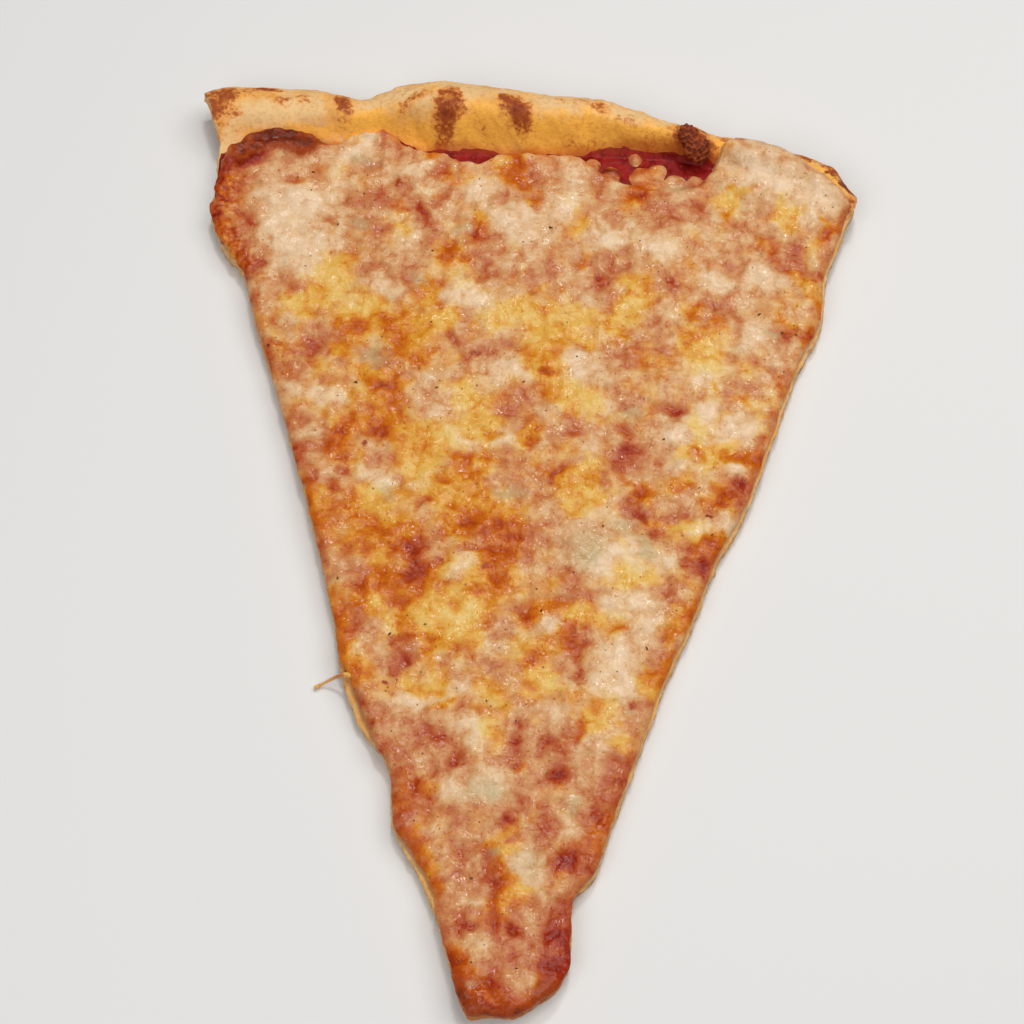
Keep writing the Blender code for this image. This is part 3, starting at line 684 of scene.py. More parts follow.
def shape_dough(piece):
    """Blisters on the skin, and an open crumb on the cut faces."""
    x, y, z = places_of(piece).T
    nz = read(piece, "normal")[:, 2]
    share = rim_share(x, y)
    rim = smooth_step((share + 0.15) / 0.3)
    cut = (np.abs(nz) < 0.75) & (cut_distance(x, y) < 0.7) & (share < CRUMB_UP_TO)
    u, v = x + 0.6 * z, y - 0.8 * z
    skin = layers(u, v, (0.7, 11, 12), (0.3, 5, 13), (0.12, 2.2, 14), (0.05, 1.1, 15))
    for count, seed, size, height in BLISTERS:
        skin = skin + height * marks(u, v, scatter_on_rim(count, seed, size), 0.9)
    before_nose = 1 - turned_over(x, y, CREST_AT)
    before_sauce = 0.5 - sauce_reach(x, y) / 3
    skin = skin * smooth_step(before_nose / 0.45) * smooth_step(before_sauce)
    crumb = 0.36 * noise(u, z * 1.6, 2.4, 17) + 0.3 * noise(v, z * 1.6, 1.3, 18)
    base = 0.15 * noise(x, y, 4, 19)
    amount = np.where(cut, crumb - 0.1, rim * skin + (1 - rim) * base)
    swell(piece, np.where(nz < -0.3, -0.4 * np.abs(amount), amount))


def cut_distance(x, y):
    """How far in from the nearer cut, or from the tip, a place is."""
    return np.minimum(np.minimum(x - left_cut(y), right_cut(y) - x), y)


def scatter_on_rim(count, seed, size):
    """Round marks strewn over the rim."""
    rng = np.random.default_rng(seed)
    x = rng.uniform(-92, 84, count)
    foot = through(RIM_FOOT, x)
    y = foot + rng.uniform(0.05, 1.0, count) * (rim_back(x) - foot)
    long, wide = size * rng.uniform(0.5, 1.1, (2, count))
    return list(zip(x, y, long, wide, rng.uniform(0, 180, count), rng.uniform(0.4, 1, count)))


def colour_dough(piece):
    """Notes where the dough is browned, floury, greasy, torn open or stained by the sauce."""
    x, y, _ = places_of(piece).T
    nz = read(piece, "normal")[:, 2]
    share, edge, reach = rim_share(x, y), cut_distance(x, y), sauce_reach(x, y)
    u = x + layers(x, y, (1.2, 5, 31), (0.6, 2, 32))
    v = y + layers(x, y, (1.2, 5, 33), (0.6, 2, 34))
    tip = smooth_step((9 - edge - 0.6 * y) / 5) * smooth_step((14 - y) / 5)
    nose = smooth_step((turned_over(x, y, CREST_AT) - 0.6) / 0.4)
    crumb = smooth_step((0.8 - np.abs(nz)) / 0.3) * (edge < 0.8) * (share < CRUMB_UP_TO)
    ledge = smooth_step((3 - edge) / 1.5) * smooth_step((y - 16) / 6)
    note(piece, "toasted", np.max([marks(u, v, TOASTED, 0.7), 0.9 * tip, 0.6 * nose], axis=0))
    note(piece, "charred", marks(u, v, CHARRED, 0.6))
    note(piece, "pale", marks(u, v, PALE, 0.7))
    note(piece, "greased", marks(u, v, GREASED, 0.7))
    note(piece, "crumb", crumb * (1 - 0.8 * tip))
    note(piece, "under", smooth_step((0.15 - nz) / 0.5))
    note(piece, "stained", smooth_step((reach + 2.8) / 3.8) * (1 - 0.9 * ledge))


BUBBLE = (41.8, 233.2, 11.1)  # the middle of a charred bubble on the rim
BUBBLE_HALVES = (3.9, 5.9, 2.9)  # across it, along it and out of the slope
BUBBLE_LEAN, BUBBLE_TILT = 43, 30  # in degrees, to the left and up the slope
PIT_SPACING, PIT_DEPTH = 1.25, 0.3


def add_bubble(material):
    """A charred bubble that swelled out of the rim: lumpy, with a waist, and pitted all over."""
    bm = bmesh.new()
    bmesh.ops.create_icosphere(bm, subdivisions=6, radius=1)
    ball = np.array([vertex.co for vertex in bm.verts])
    across, along, out = ball.T
    u, v = (ball * BUBBLE_HALVES).T[:2] + 0.6 * out
    waist = 1 - 0.16 * np.exp(-(((along - 0.15) / 0.3) ** 2)) - 0.1 * along
    pits = smooth_step((blobs(u, v, PIT_SPACING, 24) - 0.4) / 0.45)
    shape = np.column_stack((across * waist, along, out * waist)) * BUBBLE_HALVES
    shape = shape * (1 + 0.1 * noise(u, v, 3, 25))[:, None] - ball * (PIT_DEPTH * pits)[:, None]
    lean = Matrix.Rotation(np.radians(BUBBLE_LEAN), 3, "Z")
    tilt = Matrix.Rotation(np.radians(BUBBLE_TILT), 3, "X")
    for vertex, place in zip(bm.verts, put(shape @ np.array(lean @ tilt).T + BUBBLE)):
        vertex.co = place
    piece = finish_piece(bm, "charred_bubble", material)
    piece.data.shade_smooth()
    note(piece, "toasted", 1.2)
    note(piece, "charred", 0.55 + 0.5 * pits)


# ---------------------------------------------------------------- the sauce

SAUCE_BACK = ((-88, 226), (-70, 229), (-50, 232), (-42, 233.6), (-36, 232.4), (-30, 231.2),
              (-25, 232), (-16, 231.8), (-8, 231.2), (0, 231.4), (8, 232.2), (14, 233),
              (24, 233.8), (34, 233.6), (44, 232.6), (50, 230), (60, 225), (74, 217), (86, 209))
SAUCE_TOP = CLEARANCE + SAUCE
SAUCE_BEHIND = 2.4  # how far the mesh goes on, under the dough's skin
SAUCE_IN_RIGHT = 1.9
SAUCE_SINK = 0.6  # how far its underside lies in the dough
SAUCE_FINE, SAUCE_COARSE, SAUCE_UNDER = 0.5, 1.8, 4  # the mesh's spacings
SAUCE_BULGES = ((0.2, 0.2), (0.5, 0.3), (0.8, 0.15))


def past(distance, drop):
    """From 0 at an edge down to -drop, a millimetre beyond it."""
    return -drop * np.clip(-distance, 0, 1)


def sauce_reach(x, y):
    """How far in from the sauce's back edge a place is."""
    return through(SAUCE_BACK, x) + layers(x, y, (0.4, 5, 41), (0.15, 2, 42)) - y


def sauce_height(x, y):
    """The sauce over the dough. Beyond its back edge it dips under the dough's skin."""
    inside = sauce_reach(x, y)
    level = SAUCE_TOP + layers(x, y, (0.25, 4, 43), (0.07, 1.3, 44))
    return level * smooth_step(inside / 3) + past(inside, 1.2)


def ground(x, y):
    """What the cheese lies on. The sauce ends in a step, but softly under the right mound."""
    inside = through(SAUCE_BACK, x) - y
    fade = 2 + 6 * smooth_step((x - 46) / 8)
    return dough_top(x, y) + SAUCE_TOP * smooth_step(inside / fade)


def sauce_left(y):
    return np.where(y < 200, cheese_left(y) + 0.3, left_cut(y) + 0.8)


def sauce_right(y):
    return right_cut(y) - SAUCE_IN_RIGHT


def sauce_end(x):
    return through(SAUCE_BACK, x) + SAUCE_BEHIND


def sauce_places():
    """Flat places inside the sauce, fine along its back and coarse elsewhere."""
    chosen = []
    for step, is_fine in ((SAUCE_FINE, True), (SAUCE_COARSE, False)):
        x, y = lattice(step)
        edge = np.minimum(x - sauce_left(y), sauce_right(y) - x)
        near = y > through(RIM_FOOT, x) - 12
        inside = (edge > 0.8) & (y > 1.4) & (y < sauce_end(x) - 0.7)
        chosen.append(kept((x, y), inside, near == is_fine))
    return np.hstack(chosen).T


def add_sauce(material):
    """A thin sheet that shows behind the cheese's back edge and on the cut faces."""
    loop = roughened(outline(sauce_left, sauce_right, 0.6, sauce_end, 0.7), 0.25, 45)
    top_flat = np.vstack((loop, sauce_places()))
    x, y = lattice(SAUCE_UNDER)
    edge = np.minimum(x - left_cut(y), right_cut(y) - x)
    under = kept((x, y), edge > 3, y > 4, y < sauce_end(x) - 3)
    bottom_flat = np.vstack((loop, np.column_stack(under)))
    tx, ty = top_flat.T
    bx, by = bottom_flat.T
    top_z = dough_top(tx, ty) + sauce_height(tx, ty)
    bottom_z = dough_top(bx, by) - SAUCE_SINK + past(through(SAUCE_BACK, bx) - 2 - by, 1.4)
    piece = sheet("sauce", loop, top_flat, top_z, bottom_flat, bottom_z, SAUCE_BULGES)
    x, y, _ = places_of(piece).T
    note(piece, "thin", smooth_step((1.8 - sauce_reach(x, y)) / 1.8))
    piece.data.materials.append(material)
    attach(piece, "root")
    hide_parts("tomato_sauce")


# ---------------------------------------------------------------- the cheese

# How much each kind of mark reddens the cheese, makes it fatty and raises it
REDDENS = {"spot": 0.26, "blush": 0.15, "amber": 0.12, "speck": 0.15, "cream": -0.26,
           "gold": -0.15, "ridge": 0.5}
FATTENS = {"gold": 0.5, "amber": 0.5, "cream": -0.2, "blush": -0.2}
RAISES = {"cream": 0.5, "blush": -0.25, "spot": -0.5, "speck": -0.25, "gold": -0.15, "ridge": 2.2}
CHEESE_THINNEST = 0.9
BACK_ROUNDING = 2.4  # how far in from its back edge the cheese rounds off
CUT_DROOP = 1.8  # and how far in from the cuts it sinks
BARE_RIM = 2.2  # of the rim's back that stays bare
CHEESE_SINK = 0.3  # how far its underside lies in the sauce
CHEESE_FINE, CHEESE_UNDER = 0.56, 3  # the mesh's spacings
CHEESE_WALL = ((0.12, 0.28), (0.35, 0.45), (0.65, 0.4), (0.88, 0.15))


def warped(x, y):
    """Places shifted about, so that the soft ovals read there get uneven, melted outlines."""
    u = x + layers(x, y, (2.2, 8, 51), (1.0, 2.6, 52), (0.35, 1.2, 53))
    v = y + layers(x, y, (2.2, 8, 54), (1.0, 2.6, 55), (0.35, 1.2, 56))
    return u, v


def cheese_marks(x, y):
    """How much of each kind of cheese there is at each place."""
    u, v = warped(x, y)
    return {
        "spot": marks(u, v, varied(SAUCE_SPOTS), 0.9),
        "speck": marks(u, v, scatter(420, 61, (0.5, 1.7), (0.4, 1.0)), 0.9),
        "blush": marks(u, v, tumbled(BLUSH), 0.9),
        "amber": marks(u, v, tumbled(AMBER), 0.9),
        "gold": marks(u, v, tumbled(GOLD), 0.9),
        "cream": marks(u, v, tumbled(CREAM), 0.9),
        "olive_and_shade": marks(u, v, OLIVE_AND_SHADE, 0.9),
        "scorch": marks(u, v, SCORCH, 0.7),
        "ridge": marks(u, v, RIDGE, 0.8),
    }


def weighed(at, weights):
    """The marks in at, each times its weight, added up."""
    return sum(weight * at[kind] for kind, weight in weights.items())


def redness(x, y, at):
    """From thick pale cheese at 0 to bare sauce at 1."""
    valleys = 0.12 * (0.55 - blobs(x, y, 4.2, 68)) + 0.1 * (0.55 - blobs(x, y, 2.1, 69))
    crumbs = 0.34 - 0.34 * blobs(x, y, 1.5, 71) + 0.12 * noise(x, y, 3, 83)
    lobe = smooth_step(on_lobe(x, y) / 1.5 + 0.5) * smooth_step((y - 220) / 3)
    edge = smooth_step(1 - cheese_edge(x, y) / 3.5)
    level = 0.335 + weighed(at, REDDENS) + valleys + crumbs * torn_edge(x, y)
    level = level + 0.15 * lobe + 0.13 * edge
    level = level + 0.2 * smooth_step((15 - y) / 13) + 0.09 * smooth_step((70 - y) / 50)
    return level + layers(x, y, (0.11, 9, 81), (0.13, 4, 82))


def fattiness(x, y, at):
    """From plain milky cheese at 0 to clear orange fat at 1."""
    middle = smooth_step((y - 60) / 30) * smooth_step((215 - y) / 40)
    tip = smooth_step((12 - y) / 10)
    level = 0.28 + weighed(at, FATTENS) + 0.14 * middle + 0.25 * tip + 0.4 * torn_edge(x, y)
    return level + layers(x, y, (0.22, 14, 84), (0.2, 5, 85), (0.1, 2.4, 86))


def torn_edge(x, y):
    """The crumbly stretch of the left cut, below the burnt corner."""
    beside_cut = smooth_step((10 - x + cheese_left(y)) / 8)
    return smooth_step((y - 184) / 8) * smooth_step((222 - y) / 6) * beside_cut


def cheese_edge(x, y):
    """How far in from the cuts and the tip a place is."""
    return np.minimum(np.minimum(x - cheese_left(y), cheese_right(y) - x) * 0.94, y - 0.4)


def on_lobe(x, y):
    """How far in from the edge of the nearest lobe a place is."""
    inside = np.max([reach - np.hypot(x - cx, y - cy) for cx, cy, reach in LOBES], axis=0)
    return inside + 0.5 * noise(x, y, 2.6, 57)


def cheese_cover(x):
    """How far back the cheese's mesh goes: past its back edge and around its lobes."""
    end = through(CHEESE_BACK, x) + 2.2
    for cx, cy, radius in LOBES:
        reach = radius + 1.2
        over = cy + np.sqrt(np.clip(reach**2 - (x - cx) ** 2, 0, None))
        end = np.maximum(end, np.where(np.abs(x - cx) < reach, over, 0))
    return np.minimum(end, rim_back(x) - BARE_RIM / 2)


def cheese_height(x, y, at):
    """The cheese's top over what it lies on. at is what cheese_marks() gives there."""
    uneven = (1 - at["ridge"]) * layers(x, y, (0.6, 4, 58), (0.35, 1.8, 59))
    back = through(CHEESE_BACK, x) + uneven - y
    back = np.minimum(back, rim_back(x) - BARE_RIM - y)
    thinned = 1 - 0.5 * smooth_step(on_lobe(x, y) - back)
    back = np.maximum(back, on_lobe(x, y))
    depth = CHEESE + CLEARANCE + 0.7 * lumps(x, y, 32) + mounds(x, y, DOMES)
    depth = depth + weighed(at, RAISES) + cheese_lumps(x, y, at)
    depth = np.maximum(depth, CHEESE_THINNEST) + 0.06 * noise(x, y, 1.2, 65)
    rounding = np.sqrt(1 - (1 - np.clip(back / BACK_ROUNDING, 0, 1)) ** 2)
    drooping = 1 - 0.4 * (1 - np.clip(cheese_edge(x, y) / CUT_DROOP, 0, 1)) ** 2
    return depth * rounding * drooping * thinned + past(back, 1.6)


def cheese_lumps(x, y, at):
    """Lumps all over the cheese, crumbs along its torn edge and blisters on its burnt ridge."""
    crumbs = 0.8 * blobs(x, y, 2.6, 70) + 0.5 * blobs(x, y, 1.5, 71) - 0.7
    level = layers(x, y, (0.5, 8, 62), (0.34, 4, 63), (0.17, 2, 64))
    level = level + 0.45 * blobs(x, y, 4.2, 68) + 0.22 * blobs(x, y, 2.1, 69) - 0.4
    return level + torn_edge(x, y) * crumbs + at["ridge"] * (0.5 * blobs(x, y, 2.2, 72) - 0.2)


def cheese_top(x, y):
    """How high the cheese's top is over the table."""
    return ground(x, y) + cheese_height(x, y, cheese_marks(x, y))


def add_cheese(material):
    """The melted cheese, lumpy and mottled, with the sauce breaking through."""
    loop = roughened(outline(cheese_left, cheese_right, 0.4, cheese_cover, 0.55), 0.35, 66)
    x, y = lattice(CHEESE_FINE)
    behind = np.min([cheese_cover(x + shift) for shift in (-0.6, 0, 0.6)], axis=0)
    inner = kept((x, y), cheese_edge(x, y) > 0.7, y < behind - 0.7)
    top_flat = np.vstack((loop, np.column_stack(inner)))
    x, y = lattice(CHEESE_UNDER)
    under = kept((x, y), cheese_edge(x, y) > 2, y < through(CHEESE_BACK, x))
    bottom_flat = np.vstack((loop, np.column_stack(under)))
    bx, by = bottom_flat.T
    top_z = cheese_top(*top_flat.T)
    bottom_z = ground(bx, by) - CHEESE_SINK + past(through(CHEESE_BACK, bx) - by, 2.2)
    bottom_z[: len(loop)] = np.minimum(bottom_z[: len(loop)], top_z[: len(loop)] - 0.3)
    sag = 0.4 * noise(*loop.T, 6, 67)
    bulges = [(share, bulge + sag * share) for share, bulge in CHEESE_WALL]
    piece = sheet("cheese", loop, top_flat, top_z, bottom_flat, bottom_z, bulges)
    x, y, _ = places_of(piece).T
    at = cheese_marks(x, y)
    note(piece, "redness", redness(x, y, at))
    note(piece, "fattiness", fattiness(x, y, at))
    note(piece, "olive_and_shade", at["olive_and_shade"])
    note(piece, "scorch", at["scorch"])
    piece.data.materials.append(material)
    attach(piece, "root")
    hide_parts("melted_cheese")


# ---------------------------------------------------------------- small pieces on top


LARGE_FLAKES = (  # (x, y, size)
    (4.5, 207, 0.8), (-60, 220.5, 0.6), (-0.5, 160.5, 0.5), (-43.3, 158, 0.6), (-22.5, 157.5, 0.6),
    (60, 183.5, 0.6), (47, 125, 0.6), (-43.3, 103.5, 0.6), (48.5, 120, 0.5), (33, 89.6, 0.7),
    (36, 145.7, 0.6), (21.3, 121, 0.5), (7, 98, 0.5), (-29.5, 90, 0.6), (-21, 93, 0.5),
    (-5, 74, 0.5), (-6, 31, 0.5), (5.5, 10.5, 0.4), (-26.5, 198, 0.6), (-67, 168, 0.5),
    (13, 168, 0.4), (-52, 205, 0.6), (66, 178.5, 0.6), (69.5, 178, 0.5), (-43, 213, 0.5),
    (-39.5, 214.5, 0.4), (-46, 215, 0.4),
)
# The string's stations: (x, y), height off the table, radius
STRING_PATH = ((-37.5, 78.8), (-39.5, 79.2), (-41.5, 79.3), (-43.5, 78.9), (-45.5, 78.2),
               (-47.3, 77.2))
STRING_LEVELS = (6.6, 6.2, 4.4, 2.4, 1.2, 0.7)
STRING_RADII = (0.8, 0.6, 0.42, 0.34, 0.36, 0.55)
STRING_RINGS, STRING_SIDES = 60, 14


def add_flakes():
    """Specks of pepper and dried herbs, lying where the cheese holds them."""
    rng = np.random.default_rng(71)
    strewn = [(x, y, rng.uniform(0.14, 0.34)) for x, y, *_ in scatter(110, 72, (1, 1), (1, 1))]
    bm = bmesh.new()
    flakes = np.array((*strewn, *LARGE_FLAKES))
    levels = cheese_top(flakes[:, 0], flakes[:, 1])
    for (x, y, size), level in zip(flakes, levels):
        add_flake(bm, rng, (x, y, level + 0.05), size)
    piece = finish_piece(bm, "herb_flakes", flake_material())
    piece.data.shade_flat()


def add_flake(bm, rng, place, size):
    """One curled, broken flake: a jagged disc a fifth as thick as it is wide."""
    corners = rng.integers(5, 8)
    turns = np.linspace(0, 2 * np.pi, corners, endpoint=False) + rng.uniform(0, 0.6, corners)
    reach = size * rng.uniform(0.6, 1.15, corners)
    stretch, heading = rng.uniform(0.4, 0.9), rng.uniform(0, np.pi)
    tilt = Matrix.Rotation(rng.uniform(-0.5, 0.5), 3, "X") @ Matrix.Rotation(heading, 3, "Z")
    middle = Vector(put(place))
    rims = []
    for level in (0.1, -0.1):
        height = level * size + 0.08 * reach * np.cos(2 * turns)
        flat = map(Vector, zip(reach * np.cos(turns), reach * stretch * np.sin(turns), height))
        rims.append([bm.verts.new(middle + (tilt @ p) * MM) for p in flat])
    bm.faces.new(rims[0])
    bm.faces.new(rims[1][::-1])
    for k in range(corners):
        after = (k + 1) % corners
        bm.faces.new((rims[0][k], rims[1][k], rims[1][after], rims[0][after]))


def add_string():
    """A string of cheese that was pulled over the left cut and set there."""
    stations = np.arange(len(STRING_PATH))
    at = np.linspace(0, stations[-1], STRING_RINGS)
    lines = (*np.transpose(STRING_PATH), STRING_LEVELS, STRING_RADII)
    *centre, width = (through(list(zip(stations, values)), at) for values in lines)
    centre = np.column_stack(centre)
    width = width * (1 + 0.12 * np.sin(3 * at))
    width = width * np.sqrt(np.clip(np.minimum(at, stations[-1] - at) / 0.3, 0.01, 1))
    bm = bmesh.new()
    rings = []
    for middle, way, radius in zip(centre, np.gradient(centre, axis=0), width):
        facing = Vector(way).to_track_quat("Z", "Y").to_matrix()
        ring = []
        for turn in np.linspace(0, 2 * np.pi, STRING_SIDES, endpoint=False):
            spoke = facing @ Vector((np.cos(turn), np.sin(turn), 0)) * radius
            ring.append(bm.verts.new(Vector(put(middle)) + spoke * MM))
        rings.append(ring)
    for ring, following in zip(rings, rings[1:]):
        for k in range(STRING_SIDES):
            after = (k + 1) % STRING_SIDES
            bm.faces.new((ring[k], ring[after], following[after], following[k]))
    bm.faces.new(rings[0][::-1])
    bm.faces.new(rings[-1])
    piece = finish_piece(bm, "cheese_string", string_material())
    piece.data.shade_smooth()


def finish_piece(bm, name, material):
    """A mesh object from bm that rides on the slice, with the material it is given."""
    bmesh.ops.recalc_face_normals(bm, faces=bm.faces)
    mesh = bpy.data.meshes.new(name)
    bm.to_mesh(mesh)
    bm.free()
    piece = bpy.data.objects.new(name, mesh)
    bpy.context.scene.collection.objects.link(piece)
    mesh.materials.append(material)
    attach(piece, "root")
    return piece


# ---------------------------------------------------------------- materials


class Paint:
    """A material's nodes, built up from short calls. Sizes are in millimetres."""

    def __init__(self, name):
        self.material = bpy.data.materials.new(name)
        self.material.use_nodes = True
        self.tree = self.material.node_tree
        self.skin = self.tree.nodes["Principled BSDF"]
        places = self.add("ShaderNodeTexCoord").outputs["Object"]
        self.places = self.add("ShaderNodeVectorMath", operation="SCALE")
        self.join(places, self.places.inputs[0])
        self.places.inputs["Scale"].default_value = 1 / MM
        self.places = self.places.outputs[0]

    def add(self, kind, **settings):
        node = self.tree.nodes.new(kind)
        for name, value in settings.items():
            setattr(node, name, value)
        return node

    def join(self, source, socket):
        """Gives a socket another node's output, or a plain value."""
        if isinstance(source, bpy.types.NodeSocket):
            self.tree.links.new(source, socket)
        else:
            socket.default_value = (*source, 1) if isinstance(source, tuple) else source

    def noted(self, name):
        """A value that the piece keeps for each vertex."""
        return self.add("ShaderNodeAttribute", attribute_name=name).outputs["Fac"]

    def math(self, operation, a, b):
        node = self.add("ShaderNodeMath", operation=operation)
        self.join(a, node.inputs[0])
        self.join(b, node.inputs[1])
        return node.outputs[0]

    def grain(self, size, detail=2.0, roughness=0.55, warp=0.0):
        """Cloudy unevenness from 0 to 1, in patches about size across."""
        node = self.add("ShaderNodeTexNoise")
        self.join(self.places, node.inputs["Vector"])
        node.inputs["Scale"].default_value = 0.6 / size
        node.inputs["Detail"].default_value = detail
        node.inputs["Roughness"].default_value = roughness
        node.inputs["Distortion"].default_value = warp
        return node.outputs["Fac"]

    def cells(self, size):
        """The distance from the middles of scattered cells about size across."""
        node = self.add("ShaderNodeTexVoronoi")
        self.join(self.places, node.inputs["Vector"])
        node.inputs["Scale"].default_value = 1 / size
        return node.outputs["Distance"]

    def step(self, value, low, high):
        """0 below low, 1 above high, and smooth between. low may be the larger one."""
        node = self.add("ShaderNodeMapRange", interpolation_type="SMOOTHSTEP")
        self.join(value, node.inputs["Value"])
        node.inputs["From Min"].default_value = low
        node.inputs["From Max"].default_value = high
        return node.outputs["Result"]

    def plus(self, value, other, times):
        """A value with so many times another one added."""
        return self.math("ADD", value, self.math("MULTIPLY", other, times))

    def swayed(self, value, rough, amount):
        """A value pushed up and down by some grain."""
        return self.plus(value, self.math("SUBTRACT", rough, 0.5), amount)

    def broken(self, name, rough, low, high):
        """A noted mark with its edge broken up by some grain, and made firmer."""
        return self.step(self.swayed(self.noted(name), rough, 0.8), low, high)

    def ramp(self, value, stops):
        """The colour at a value between the stops' own colours."""
        node = self.add("ShaderNodeValToRGB")
        band = node.color_ramp
        while len(band.elements) < len(stops):
            band.elements.new(1)
        for element, (place, colour) in zip(band.elements, stops):
            element.position = place
            element.color = (*colour, 1)
        self.join(value, node.inputs["Fac"])
        return node.outputs["Color"]

    def blend(self, share, under, over, most=None):
        """The colour under, painted over with another one where share is 1, or by most of it."""
        if most is not None:
            share = self.math("MULTIPLY", share, most)
        node = self.add("ShaderNodeMix", data_type="RGBA")
        self.join(share, node.inputs["Factor"])
        self.join(under, node.inputs["A"])
        self.join(over, node.inputs["B"])
        return node.outputs["Result"]

    def relief(self, height, depth):
        """Fine unevenness of the surface, depth millimetres deep."""
        node = self.add("ShaderNodeBump")
        node.inputs["Strength"].default_value = 1
        node.inputs["Distance"].default_value = depth * MM
        self.join(height, node.inputs["Height"])
        self.join(node.outputs["Normal"], self.skin.inputs["Normal"])

    def sheen(self, roughness, subsurface=0.0, shine=0.4):
        """Gloss, and how much of the light spreads inside."""
        self.join(roughness, self.skin.inputs["Roughness"])
        self.skin.inputs["Specular IOR Level"].default_value = shine
        self.skin.inputs["Subsurface Weight"].default_value = subsurface
        self.skin.inputs["Subsurface Radius"].default_value = (1.0, 0.45, 0.2)
        self.skin.inputs["Subsurface Scale"].default_value = LIGHT_SPREAD * MM

    def finish(self, colour):
        """The material, with its colour in place."""
        self.join(colour, self.skin.inputs["Base Color"])
        return self.material


LIGHT_SPREAD = 1.0
MILKY = (  # the cheese's colours without fat, from thick and pale to bare sauce
    (0.0, (0.83, 0.605, 0.4)), (0.2, (0.74, 0.48, 0.262)), (0.36, (0.64, 0.32, 0.132)),
    (0.5, (0.55, 0.2, 0.075)), (0.66, (0.465, 0.1, 0.03)), (0.82, (0.35, 0.028, 0.007)),
    (1.0, (0.22, 0.01, 0.003)),
)
FATTY = (  # and with clear orange fat
    (0.0, (0.79, 0.55, 0.19)), (0.2, (0.76, 0.43, 0.085)), (0.36, (0.68, 0.27, 0.023)),
    (0.5, (0.59, 0.15, 0.007)), (0.66, (0.48, 0.084, 0.004)), (0.82, (0.35, 0.036, 0.003)),
    (1.0, (0.2, 0.014, 0.003)),
)
ORANGE = (0.55, 0.14, 0.015)
YELLOW = (0.8, 0.45, 0.11)
GREY_GREEN = (0.5, 0.4, 0.2)
RUSSET = (0.36, 0.055, 0.008)
BURNT = (0.14, 0.016, 0.004)
PEPPER = (0.16, 0.06, 0.025)


def cheese_material():
    """Pale cheese stained by fat and sauce, with glossy pools and browned blisters."""
    paint = Paint("melted cheese")
    fine = paint.grain(0.5, 4, 0.65)
    medium = paint.grain(2.2, 6, 0.62, warp=0.5)
    patches = paint.grain(2.6, 5, 0.6, warp=0.5)
    red = paint.swayed(paint.swayed(paint.noted("redness"), medium, 0.5), fine, 0.2)
    red = paint.plus(red, paint.step(fine, 0.46, 0.34), 0.2)
    fat = paint.step(paint.swayed(paint.noted("fattiness"), patches, 0.6), 0.2, 0.8)
    colour = paint.blend(fat, paint.ramp(red, MILKY), paint.ramp(red, FATTY))
    # Grey-green over thin see-through cheese, which is partly painted shade
    colour = paint.blend(paint.noted("olive_and_shade"), colour, GREY_GREEN, most=0.6)
    colour = paint.blend(paint.step(paint.cells(0.9), 0.16, 0.05), colour, ORANGE, most=0.35)
    colour = paint.blend(paint.step(paint.cells(4.0), 0.075, 0.05), colour, PEPPER, most=0.8)
    burnt = paint.swayed(paint.swayed(paint.noted("scorch"), medium, 1.2), fine, 0.7)
    colour = paint.blend(paint.step(burnt, 0.1, 0.6), colour, RUSSET)
    colour = paint.blend(paint.step(burnt, 0.6, 1.1), colour, BURNT)
    paint.relief(paint.plus(paint.grain(0.55, 0.5), paint.grain(1.3, 0.5), 1.3), 0.22)
    gloss = paint.plus(0.14, paint.step(patches, 0.38, 0.62), 0.26)
    paint.sheen(paint.plus(gloss, paint.noted("scorch"), 0.1), subsurface=0.2, shine=0.2)
    return paint.finish(colour)


def string_material():
    """Yellow cheese with orange streaks, set and a little glossy."""
    paint = Paint("cheese string")
    streaks = paint.grain(0.8, 3)
    paint.relief(streaks, 0.1)
    paint.sheen(paint.plus(0.3, streaks, 0.2), subsurface=0.3)
    return paint.finish(paint.blend(paint.step(streaks, 0.35, 0.7), YELLOW, ORANGE))


SAUCE_DEEP = (0.19, 0.004, 0.004)
SAUCE_RED = (0.3, 0.012, 0.009)
SAUCE_SEED = (0.38, 0.06, 0.02)
SAUCE_PULP = (0.1, 0.01, 0.008)
SAUCE_FILM = (0.36, 0.045, 0.013)


def sauce_material():
    """Deep red, with pulp and paler seeds in a wet glaze, and a paler film where it runs out."""
    paint = Paint("tomato sauce")
    fine, medium = paint.grain(0.5, 3), paint.grain(1.8, 3)
    colour = paint.blend(paint.step(medium, 0.38, 0.64), SAUCE_DEEP, SAUCE_RED)
    colour = paint.blend(paint.step(fine, 0.6, 0.72), colour, SAUCE_SEED)
    colour = paint.blend(paint.step(fine, 0.38, 0.3), colour, SAUCE_PULP)
    thin = paint.step(paint.swayed(paint.noted("thin"), medium, 0.6), 0.2, 0.9)
    colour = paint.blend(thin, colour, SAUCE_FILM, most=0.6)
    paint.relief(paint.grain(1.2, 1), 0.1)
    paint.sheen(paint.plus(0.25, medium, 0.3), subsurface=0.1, shine=0.1)
    return paint.finish(colour)


CRUST_PALE = (0.85, 0.55, 0.25)
CRUST_GOLD = (0.84, 0.415, 0.105)
CRUST_ORANGE = (1.0, 0.49, 0.075)
CRUST_TAN = (0.84, 0.34, 0.065)
CRUST_TOAST_AND_HOLE_SHADE = (0.62, 0.2, 0.03)
CRUST_BROWN = (0.32, 0.055, 0.01)
CRUST_DARK = (0.13, 0.018, 0.005)
SOAKED = (0.55, 0.12, 0.015)
CRUMB = (0.76, 0.5, 0.24)


